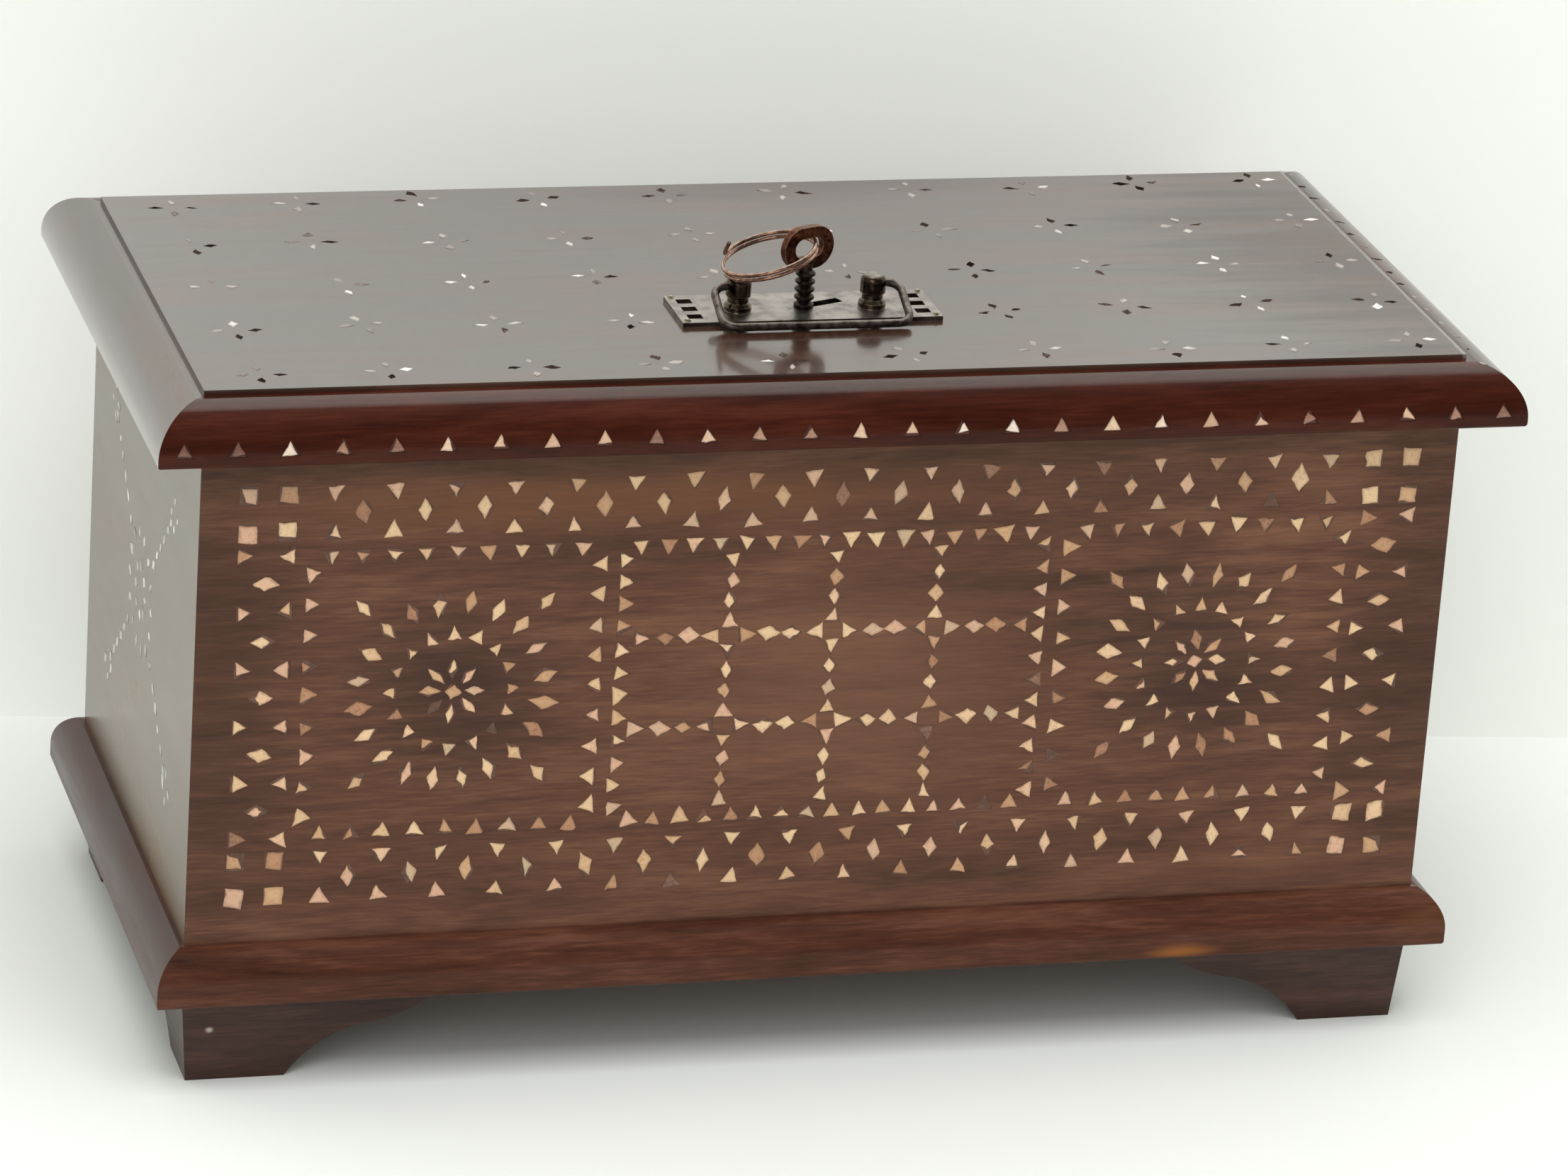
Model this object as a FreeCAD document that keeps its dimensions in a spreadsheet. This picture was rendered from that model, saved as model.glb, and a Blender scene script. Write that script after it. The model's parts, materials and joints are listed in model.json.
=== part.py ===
import FreeCAD, Part
import math
import os
import re

import Sketcher
from FreeCAD import Placement, Rotation, Vector

# Inlaid wooden storage chest on bracket feet. The lid is hinged at the back and carries a pierced
# handle plate with a bail between two turned posts, and a lock whose key enters from above.
# Millimetres, +Z up, +X along the front, the front towards -Y, origin on the floor at the middle.

SIZES = [
    ("body_length", 420.0, "carcass, outside, along the front"),
    ("body_depth", 190.0, "carcass, outside, front to back"),
    ("wall", 12.0, "thickness of the four walls"),
    ("wall_height", 170.0, "walls above the base rails"),
    ("bottom_thickness", 9.0, "bottom board inside the walls"),
    ("foot_height", 31.0, "bracket feet, floor to base rails"),
    ("foot_flat", 35.0, "flat under a front or back bracket"),
    ("foot_reach", 88.0, "length of a front or back bracket"),
    ("side_foot_flat", 28.0, "flat under a side bracket"),
    ("side_foot_reach", 76.0, "length of a side bracket"),
    ("foot_knee_run", 27.0, "from the flat to the knee of the bracket's ogee"),
    ("foot_knee_height", 18.2, "height of that knee"),
    ("foot_hollow_radius", 40.0, "hollow of the ogee, below the knee"),
    ("foot_round_radius", 52.0, "round of the ogee, above the knee"),
    ("foot_thickness", 14.0, "thickness of a bracket"),
    ("foot_taper", 2.4, "how far a bracket's face leans in at the floor"),
    ("cut_margin", 1.0, "how far a cut runs past the wood"),
    ("block_side", 18.0, "glue block behind each pair of brackets"),
    ("block_lift", 8.0, "floor to the glue block"),
    ("base_height", 18.5, "height of a base rail"),
    ("base_overhang", 10.0, "base rail in front of the wall"),
    ("base_seat", 24.0, "base rail behind the wall's face"),
    ("base_lip", 6.0, "upright lower face of the base rail"),
    ("base_fillet", 1.5, "flat beside the wall on the base rail"),
    ("base_round_radius", 13.6, "ovolo of the base rail"),
    ("edge_radius", 1.5, "rounded lower edge of the rails"),
    ("lid_gap", 0.3, "seam between walls and lid"),
    ("lid_thickness", 20.0, "lid board"),
    ("lid_overhang", 17.0, "lid rail in front of the wall"),
    ("lid_rail_height", 18.4, "height of a lid rail"),
    ("lid_lip", 3.0, "upright lower face of the lid rail"),
    ("lid_fillet", 3.0, "flat beside the board on the lid rail"),
    ("lid_round_radius", 15.5, "ovolo of the lid rail"),
    ("chip_depth", 1.2, "thickness of the inlaid chips"),
    ("chip_clearance", 0.06, "glue line around a chip"),
    ("triangle_base", 5.8, "triangular chip, across"),
    ("triangle_rise", 5.2, "triangular chip, base to point"),
    ("diamond_length", 8.8, "lozenge chip, point to point"),
    ("diamond_width", 5.0, "lozenge chip, across"),
    ("square_side", 6.2, "square chip"),
    ("border_inset", 22.0, "front's edge to the middle of its border"),
    ("border_row", 6.4, "border's middle to its two rows of triangles"),
    ("border_pitch", 19.6, "from one pair of triangles to the next"),
    ("border_clear", 12.0, "corner of the border to its first pair"),
    ("field_gap", 9.3, "border's inner row to the frames inside it"),
    ("frame_gap", 9.6, "frame of a rosette to the frame of the middle grid"),
    ("grid_share", 0.404, "share of the front's field that the middle grid takes"),
    ("grid_pitch", 34.8, "width of a cell of the middle grid"),
    ("cell_pitch", 8.0, "triangles along the middle grid's frame"),
    ("panel_pitch", 10.4, "triangles along a rosette's frame"),
    ("line_gap", 0.10, "bare wood at a crossing of the grid, as a share of a cell"),
    ("line_triangle", 0.165, "triangle at a crossing, as a share of a cell"),
    ("line_lozenge", 0.20, "lozenge of a grid line, as a share of a cell"),
    ("line_width", 0.15, "that lozenge across, as a share of a cell"),
    ("petal_ring", 0.162, "rosette's middle to its petals, as a share of its frame"),
    ("petal_length", 0.158, "petal of the rosette, as a share of its frame"),
    ("petal_width", 0.077, "that petal across, as a share of the frame"),
    ("spark_ring", 0.438, "rosette's middle to its small triangles, as a share of its frame"),
    ("spark_side", 0.094, "small triangle of the rosette, as a share of its frame"),
    ("ray_ring", 0.662, "rosette's middle to its ring of lozenges, as a share of its frame"),
    ("ray_length", 0.188, "lozenge of that ring, as a share of the frame"),
    ("ray_width", 0.098, "that lozenge across, as a share of the frame"),
    ("spandrel_ring", 0.908, "rosette's middle to its frame's corner lozenges, as a share of the frame"),
    ("edge_pitch", 16.2, "triangles along the lid rail"),
    ("edge_rise", 5.0, "triangular chip of the lid rail"),
    ("edge_height", 6.2, "underside of the lid rail to the middle of its triangles"),
    ("edge_depth", 2.4, "seats of the triangles, from the outermost line of the lid rail"),
    ("hinge_inset", 80.0, "chest's end to the middle of a hinge"),
    ("hinge_length", 42.0, "hinge leaf along its pin"),
    ("leaf_thickness", 1.2, "hinge leaf"),
    ("knuckle_radius", 2.7, "hinge knuckle"),
    ("knuckle_clearance", 0.3, "around and between the knuckles"),
    ("pin_radius", 1.2, "hinge pin"),
    ("pin_play", 0.05, "round the hinge pin"),
    ("screw_spread", 13.0, "hinge's middle to its screws"),
    ("screw_radius", 1.1, "shank of a wood screw"),
    ("screw_head_radius", 2.2, "head of a wood screw"),
    ("screw_length", 8.0, "wood screw below its head"),
    ("screw_play", 0.05, "round a screw or a stud"),
    ("key_setback", 59.0, "front wall's face to the key"),
    ("plate_length", 88.0, "handle plate"),
    ("plate_depth", 26.6, "handle plate, front to back"),
    ("plate_thickness", 1.6, "handle plate"),
    ("slot_length", 5.0, "pierced slot in the plate's end"),
    ("slot_width", 4.2, "pierced slot, front to back"),
    ("slot_pitch", 7.4, "from slot to slot"),
    ("slot_margin", 5.4, "plate's end to the middle of its slots"),
    ("tack_margin", 1.9, "plate's edge to its tacks"),
    ("tack_radius", 0.8, "shank of a tack"),
    ("tack_head_radius", 1.3, "head of a tack"),
    ("tack_head_height", 0.7, "head of a tack"),
    ("tack_length", 9.0, "tack below the plate"),
    ("post_spread", 22.8, "key to a handle post, along the plate"),
    ("post_offset", 1.5, "key to the handle posts, towards the front"),
    ("post_base_radius", 4.6, "foot of a post"),
    ("post_base_height", 1.6, "foot of a post"),
    ("post_neck_radius", 3.5, "neck of a post"),
    ("post_neck_height", 5.0, "plate to the post's cap"),
    ("cap_radius", 4.2, "cap of a post"),
    ("cap_height", 6.0, "cap of a post"),
    ("cap_round", 2.0, "rounded upper edge of the cap"),
    ("stud_radius", 2.0, "threaded stud below a post"),
    ("nut_radius", 3.8, "nut on the stud, over its corners"),
    ("nut_height", 3.0, "nut on the stud"),
    ("bail_wire", 1.35, "radius of the bail's bar"),
    ("bail_play", 0.06, "round the bail's ends in the posts"),
    ("bail_entry", 3.6, "depth of the bail's end in a cap"),
    ("bail_bend", 4.6, "bends of the bail"),
    ("bail_reach", 19.4, "bail's axis to its bar"),
    ("bail_rest", 0.4, "bail's bar above the lid"),
    ("key_shank", 2.2, "radius of the key's shank"),
    ("key_collar", 3.3, "radius of the key's collars"),
    ("key_collar_height", 0.7, "length of a collar"),
    ("key_collar_pitch", 2.7, "from collar to collar"),
    ("key_rest", 0.3, "key's lowest collar above the plate"),
    ("bow_height", 20.4, "plate to the middle of the key's bow"),
    ("bow_rise", 7.2, "bow's middle to its top"),
    ("bow_half", 9.8, "bow's middle to its side"),
    ("bow_eye_rise", 3.4, "hole of the bow, up from its middle"),
    ("bow_eye_half", 5.6, "hole of the bow, sideways from its middle"),
    ("bow_thickness", 2.6, "thickness of the bow"),
    ("bit_reach", 11.0, "key's axis to the edge of its bit"),
    ("bit_height", 5.0, "height of the bit"),
    ("bit_thickness", 3.4, "thickness of the bit"),
    ("keyhole_play", 0.35, "round the key in the plate, board and barrel"),
    ("keyhole_spare", 3.6, "slot of the keyhole beyond the bit"),
    ("key_angle", 21.0, "turn of the key from the plate's length, degrees"),
    ("ring_radius", 15.6, "middle of the key ring's wire"),
    ("ring_wire", 0.8, "half the thickness of the key ring's wire"),
    ("ring_rest", 0.3, "key ring above the post that it leans on"),
    ("ring_shift", 2.6, "key's axis to the ring's wire in the bow"),
    ("ring_lift", 0.8, "bow's middle to the ring's wire in it"),
    ("case_front", 35.0, "lock case, key to front"),
    ("case_back", 24.0, "lock case, key to back"),
    ("case_depth", 12.0, "lock case below the lid"),
    ("case_wall", 1.5, "sheet of the lock case"),
    ("tab_width", 8.0, "fixing tab of the lock case, sideways"),
    ("tab_length", 14.0, "fixing tab of the lock case, front to back"),
    ("barrel_radius", 4.5, "turning barrel round the key"),
    ("barrel_floor", 0.6, "bottom of the barrel below the key"),
    ("barrel_pivot_radius", 3.0, "pivot of the barrel in the case"),
    ("running_gap", 0.3, "between sliding and turning pieces of the lock"),
    ("bolt_thickness", 5.0, "bolt"),
    ("bolt_half", 16.0, "tail of the bolt, middle to side"),
    ("nose_half", 9.0, "nose of the bolt, middle to side"),
    ("bolt_travel", 8.0, "bolt's travel when the key turns"),
    ("talon_lead", 0.7, "barrel to the edge that the key's bit drives"),
    ("bolt_rail", 4.0, "bolt beside and behind its window"),
    ("keeper_half", 15.0, "keeper on the front wall, middle to side"),
    ("keeper_drop", 20.0, "keeper's plate down the wall"),
    ("keeper_screw_spread", 10.5, "keeper's middle to its screws"),
    ("keeper_sheet", 1.5, "sheet of the keeper"),
    ("keeper_clearance", 1.0, "bolt's nose to the keeper when withdrawn"),
]

# Levels and places that follow from the sizes above.
DERIVED = {
    "wall_foot": "foot_height + base_height",
    "rim": "wall_foot + wall_height",
    "lid_under": "rim + lid_gap",
    "lid_top": "lid_under + lid_thickness",
    "plate_top": "lid_top + plate_thickness",
    "front_face": "body_depth / 2",
    "side_face": "body_length / 2",
    "field_half": "side_face - border_inset - border_row - field_gap",
    "grid_half": "grid_share * field_half",
    "panel_run": "(field_half - grid_half - frame_gap) / 2",
    "panel_rise": "wall_height / 2 - border_inset - border_row - field_gap",
    "panel_middle": "field_half - panel_run",
    "hinge_offset": "side_face - hinge_inset",
    "key_offset": "front_face - key_setback",
    "pin_y": "front_face + knuckle_radius + knuckle_clearance",
    "pin_z": "rim + lid_gap / 2",
    "knuckle_third": "hinge_length / 6",
    "post_height": "post_neck_height + cap_height",
    "bail_height": "post_neck_height + cap_height / 2",
    "post_y": "-key_offset - post_offset",
    "bail_half": "post_spread + cap_radius + bail_play + bail_bend",
    "keyhole_radius": "key_shank + keyhole_play",
    "keyhole_half": "bit_thickness / 2 + keyhole_play",
    "keyhole_reach": "bit_reach + keyhole_spare",
    "case_floor": "case_depth - case_wall",
    "key_depth": "plate_thickness + lid_thickness + case_floor - running_gap - barrel_floor",
    "case_half": "bolt_half + 2 * running_gap + case_wall",
    "keeper_flange": "keeper_sheet + running_gap + bolt_travel - keeper_clearance",
    "bolt_edge": "barrel_radius + talon_lead",
    "bolt_shoulder": "-case_front + case_wall + running_gap + bolt_travel",
    "bolt_back": "barrel_radius + running_gap + bolt_travel",
    "bolt_tip": "key_offset - front_face + wall + keeper_flange + keeper_clearance",
    "key_collar_slope": "0.45 * (key_collar_pitch - key_collar_height)",
    "ring_hold": "plate_top + bow_height + ring_lift",
}

doc = FreeCAD.newDocument("storage_chest")
sheet = doc.addObject("Spreadsheet::Sheet", "Sizes")
for row, (alias, number, note) in enumerate(SIZES, 1):
    sheet.set(f"A{row}", note)
    sheet.set(f"B{row}", str(number))
    sheet.setAlias(f"B{row}", alias)
doc.recompute()

ALIASES = {alias for alias, number, note in SIZES}
WORD = re.compile(r"[a-z_]+")
ACROSS = Vector(1, 0, 0)
INWARD = Vector(0, 1, 0)
UP = Vector(0, 0, 1)
NODES = []


def expr(formula):
    """Write a formula over the named sizes as an expression over the sheet."""

    def swap(match):
        word = match.group(0)
        if word in DERIVED:
            return f"({expr(DERIVED[word])})"
        return f"Sizes.{word}" if word in ALIASES else word

    return WORD.sub(swap, formula)


def value(formula):
    """Number that a formula over the named sizes comes to."""
    return float(sheet.evalExpression(expr(formula)))


# Drawing and placing


def node(made, label):
    """Keep an object as a sub-part under its own name."""
    made.Label = label
    NODES.append(made)
    return made


def place(made, x, y, z, turn=0.0, axis=UP):
    """Stand an object at three formulas, turned about an axis through its own origin."""
    made.Placement = Placement(Vector(), Rotation(axis, turn))
    for letter, formula in zip("xyz", (x, y, z)):
        made.setExpression(f"Placement.Base.{letter}", expr(formula))
    return made


def new_body(name):
    return doc.addObject("PartDesign::Body", name)


def new_sketch(body, role, lift=None):
    """Sketch on one of the body's own planes, lifted off it by a formula where one is given."""
    plane = next(item for item in body.Origin.OriginFeatures if item.Role == role)
    sketch = body.newObject("Sketcher::SketchObject", f"{body.Name}_sketch")
    sketch.AttachmentSupport = [(plane, "")]
    sketch.MapMode = "FlatFace"
    if lift:
        sketch.setExpression("AttachmentOffset.Base.z", expr(lift))
    return sketch


def hold(sketch, kind, geometry, position, formula):
    """Hold one coordinate of a point, or a radius, at a formula."""
    if kind == "Radius":
        constraint = Sketcher.Constraint(kind, geometry, value(formula))
    else:
        constraint = Sketcher.Constraint(kind, -1, 1, geometry, position, value(formula))
    index = sketch.addConstraint(constraint)
    sketch.setExpression(f"Constraints[{index}]", expr(formula))


def arc_between(here, there, radius, side):
    """Arc under half a circle, with its centre left (+1) or right (-1) of the way."""
    chord = there - here
    left = Vector(-chord.y, chord.x, 0) / chord.Length
    rise = math.sqrt(radius**2 - (chord.Length / 2) ** 2)
    centre = (here + there) / 2 + left * (side * rise)
    first, last = (here, there) if side > 0 else (there, here)
    start = math.atan2(first.y - centre.y, first.x - centre.x)
    stop = math.atan2(last.y - centre.y, last.x - centre.x)
    if stop < start:
        stop += 2 * math.pi
    return Part.ArcOfCircle(Part.Circle(centre, UP, radius), start, stop)


def draw(sketch, corners, closed=True):
    """Draw an outline through corners given as formulas.

    A corner is (x, y), or (x, y, radius, side) where the stretch to the next corner is an arc.
    """
    points = [Vector(value(corner[0]), value(corner[1]), 0) for corner in corners]
    last = len(corners) if closed else len(corners) - 1
    stretches = []
    for index in range(last):
        corner = corners[index]
        here = points[index]
        there = points[(index + 1) % len(points)]
        if len(corner) == 2:
            made = sketch.addGeometry(Part.LineSegment(here, there))
            stretches.append((made, 1, 2))
        else:
            made = sketch.addGeometry(arc_between(here, there, value(corner[2]), corner[3]))
            stretches.append((made, 1, 2) if corner[3] > 0 else (made, 2, 1))
    for index, (made, start, stop) in enumerate(stretches):
        hold(sketch, "DistanceX", made, start, corners[index][0])
        hold(sketch, "DistanceY", made, start, corners[index][1])
        if closed or index + 1 < last:
            following = stretches[(index + 1) % last]
            sketch.addConstraint(Sketcher.Constraint("Coincident", made, stop, following[0], following[1]))
        else:
            hold(sketch, "DistanceX", made, stop, corners[index + 1][0])
            hold(sketch, "DistanceY", made, stop, corners[index + 1][1])
    for (made, start, stop), corner in zip(stretches, corners):
        if len(corner) == 4:
            hold(sketch, "Radius", made, 0, corner[2])


def draw_circle(sketch, x, y, radius):
    circle = Part.Circle(Vector(value(x), value(y), 0), UP, value(radius))
    made = sketch.addGeometry(circle)
    hold(sketch, "DistanceX", made, 3, x)
    hold(sketch, "DistanceY", made, 3, y)
    hold(sketch, "Radius", made, 0, radius)


def draw_box(sketch, left, low, right, high):
    draw(sketch, [(left, low), (right, low), (right, high), (left, high)])


def pad(body, sketch, length, symmetric=False, backward=False):
    made = body.newObject("PartDesign::Pad", f"{body.Name}_pad")
    made.Profile = sketch
    made.SideType = "Symmetric" if symmetric else "One side"
    made.Reversed = backward
    made.setExpression("Length", expr(length))
    return made


def pocket(body, sketch, length=None, symmetric=False, backward=False):
    """Cut a sketch out of a body, right through it where no length is given."""
    made = body.newObject("PartDesign::Pocket", f"{body.Name}_pocket")
    made.Profile = sketch
    made.SideType = "Symmetric" if symmetric else "One side"
    made.Reversed = backward
    if length:
        made.setExpression("Length", expr(length))
    else:
        made.Type = "ThroughAll"
    return made


def revolve(body, sketch):
    made = body.newObject("PartDesign::Revolution", f"{body.Name}_turned")
    made.Profile = sketch
    made.ReferenceAxis = (sketch, ["V_Axis"])
    made.Angle = 360.0
    return made


def new_box(name, corner, sides):
    """Box with its low corner and its three sides as formulas."""
    made = doc.addObject("Part::Box", name)
    for side, formula in zip(("Length", "Width", "Height"), sides):
        made.setExpression(side, expr(formula))
    return place(made, *corner)


def solids(name, shapes):
    """Several solids as one object."""
    made = doc.addObject("Part::Feature", name)
    made.Shape = Part.Compound(shapes)
    made.Placement = Placement()
    return made


def cut(base, tool, name):
    made = doc.addObject("Part::Cut", name)
    made.Base = base
    made.Tool = tool
    return made


def common(base, tool, name):
    made = doc.addObject("Part::Common", name)
    made.Base = base
    made.Tool = tool
    return made


# Walls, bottom, base and feet

# The four sides: name, half length of the side, half distance to the side across, turn about Z.
SIDES = [
    ("front", "side_face", "front_face", 0.0),
    ("right", "front_face", "side_face", 90.0),
    ("back", "side_face", "front_face", 180.0),
    ("left", "front_face", "side_face", 270.0),
]


def make_wall(name, run, face, turn):
    """Board mitred at both ends; the back one is let down for the hinge leaves."""
    body = new_body(f"{name}_wall")
    plan = new_sketch(body, "XY_Plane")
    draw(plan, [
        (f"-{run}", f"-{face}"),
        (run, f"-{face}"),
        (f"{run} - wall", f"-{face} + wall"),
        (f"-{run} + wall", f"-{face} + wall"),
    ])
    pad(body, plan, "wall_height")
    if name == "back":
        seats = new_sketch(body, "XZ_Plane")
        for side in ("-", ""):
            middle = f"{side}hinge_offset"
            draw_box(
                seats,
                f"{middle} - hinge_length / 2 - knuckle_clearance",
                "wall_height - leaf_thickness",
                f"{middle} + hinge_length / 2 + knuckle_clearance",
                "wall_height + leaf_thickness",
            )
        pocket(body, seats, symmetric=True)
    return place(body, "0", "0", "wall_foot", turn)


def make_rail(name, section, run, face, overhang, seat, level, turn):
    """Moulding along one side: a section run past the corners and mitred at both ends."""
    body = new_body(name)
    profile = new_sketch(body, "YZ_Plane")
    draw(profile, section)
    pad(body, profile, f"2 * ({run} + {overhang})", symmetric=True)
    mitres = new_sketch(body, "XY_Plane")
    for side in ("-", ""):
        draw(mitres, [
            (f"{side}({run} + {overhang} + cut_margin)", f"-({face} + {overhang} + cut_margin)"),
            (f"{side}({run} + {overhang} + cut_margin)", f"-({face} - {seat} - cut_margin)"),
            (f"{side}({run} - {seat} - cut_margin)", f"-({face} - {seat} - cut_margin)"),
        ])
    pocket(body, mitres, symmetric=True)
    return place(body, "0", "0", level, turn)


def base_section(face):
    """Section of a base rail: rounded lower edge, upright lip, ovolo, flat under the wall."""
    outer = f"-({face} + base_overhang)"
    inner = f"-({face} - base_seat)"
    return [
        (f"{outer} + edge_radius", "0", "edge_radius", -1),
        (outer, "edge_radius"),
        (outer, "base_lip", "base_round_radius", -1),
        (f"-({face} + base_fillet)", "base_height"),
        (inner, "base_height"),
        (inner, "0"),
    ]


def lid_section(face):
    """Section of a lid rail: rounded lower edge, low lip, full ovolo, flat beside the board."""
    outer = f"-({face} + lid_overhang)"
    return [
        (f"{outer} + edge_radius", "0", "edge_radius", -1),
        (outer, "edge_radius"),
        (outer, "lid_lip", "lid_round_radius", -1),
        (f"-({face} + lid_fillet)", "lid_rail_height"),
        (f"-{face}", "lid_rail_height"),
        (f"-{face}", "0"),
    ]


def make_bracket(name, flat, reach, hand, x, y, turn):
    """One wing of a bracket foot, from the corner of the chest along one side.

    The face has an ogee cut under it and leans in towards the floor; the end at the corner leans the
    same way and is mitred to the other wing. hand is "" or "-", for a wing to the right or the left.
    """
    body = new_body(name)
    face = new_sketch(body, "XZ_Plane")
    bend = -1 if hand == "" else 1
    draw(face, [
        (f"{hand}foot_taper", "0"),
        (f"{hand}{flat}", "0", "foot_hollow_radius", bend),
        (f"{hand}({flat} + foot_knee_run)", "foot_knee_height", "foot_round_radius", -bend),
        (f"{hand}{reach}", "foot_height"),
        ("0", "foot_height"),
    ])
    pad(body, face, "foot_thickness", backward=True)
    lean = new_sketch(body, "YZ_Plane")
    draw(lean, [("0", "0"), ("foot_taper", "0"), ("0", "foot_height")])
    pocket(body, lean, symmetric=True)
    mitre = new_sketch(body, "XY_Plane")
    draw(mitre, [
        ("0", "0"),
        (f"{hand}(foot_thickness + cut_margin)", "foot_thickness + cut_margin"),
        (f"{hand}(-cut_margin)", "foot_thickness + cut_margin"),
        (f"{hand}(-cut_margin)", "0"),
    ])
    pocket(body, mitre, symmetric=True)
    return place(body, x, y, "0", turn)


def make_feet():
    blocks = []
    for depth_name, depth_sign in (("front", "-"), ("back", "")):
        for side_name, side_sign in (("left", "-"), ("right", "")):
            corner = f"{depth_name}_{side_name}"
            x = f"{side_sign}side_face"
            y = f"{depth_sign}front_face"
            same = (depth_name == "front") == (side_name == "left")
            long_hand, side_hand = ("", "-") if same else ("-", "")
            long_turn = 0.0 if depth_name == "front" else 180.0
            side_turn = -90.0 if side_name == "left" else 90.0
            long_wing = make_bracket(
                f"foot_{corner}_long", "foot_flat", "foot_reach", long_hand, x, y, long_turn
            )
            side_wing = make_bracket(
                f"foot_{corner}_side", "side_foot_flat", "side_foot_reach", side_hand, x, y, side_turn
            )
            node(long_wing, f"foot_{corner}_long_bracket")
            node(side_wing, f"foot_{corner}_side_bracket")
            inset = "foot_thickness" if side_name == "left" else "-foot_thickness - block_side"
            behind = "foot_thickness" if depth_name == "front" else "-foot_thickness - block_side"
            blocks.append(new_box(
                f"block_{corner}",
                (f"{x} + {inset}", f"{y} + {behind}", "block_lift"),
                ("block_side", "block_side", "foot_height - block_lift"),
            ))
    group = doc.addObject("Part::Compound", "glue_blocks")
    group.Links = blocks
    node(group, "foot_glue_blocks")


def make_base():
    bottom = new_box(
        "bottom",
        ("-side_face + wall", "-front_face + wall", "wall_foot"),
        ("body_length - 2 * wall", "body_depth - 2 * wall", "bottom_thickness"),
    )
    node(bottom, "bottom_board")
    for name, run, face, turn in SIDES:
        section = base_section(face)
        rail = make_rail(
            f"base_{name}", section, run, face, "base_overhang", "base_seat", "foot_height", turn
        )
        node(rail, f"base_rail_{name}")


# Inlay


def triangle(at, to, base, rise):
    """Outline of a triangular chip in the front's plane, pointing along to."""
    beside = to.cross(INWARD) * (base / 2)
    foot = at - to * (rise / 2)
    return [at + to * (rise / 2), foot + beside, foot - beside]


def lozenge(at, along, length, width):
    """Outline of a lozenge chip in the front's plane, long along a direction."""
    beside = along.cross(INWARD) * (width / 2)
    reach = along * (length / 2)
    return [at + reach, at + beside, at - reach, at - beside]


def ray(degrees):
    """Direction in the front's plane, counted from the right."""
    angle = math.radians(degrees)
    return ACROSS * math.cos(angle) + UP * math.sin(angle)


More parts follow.
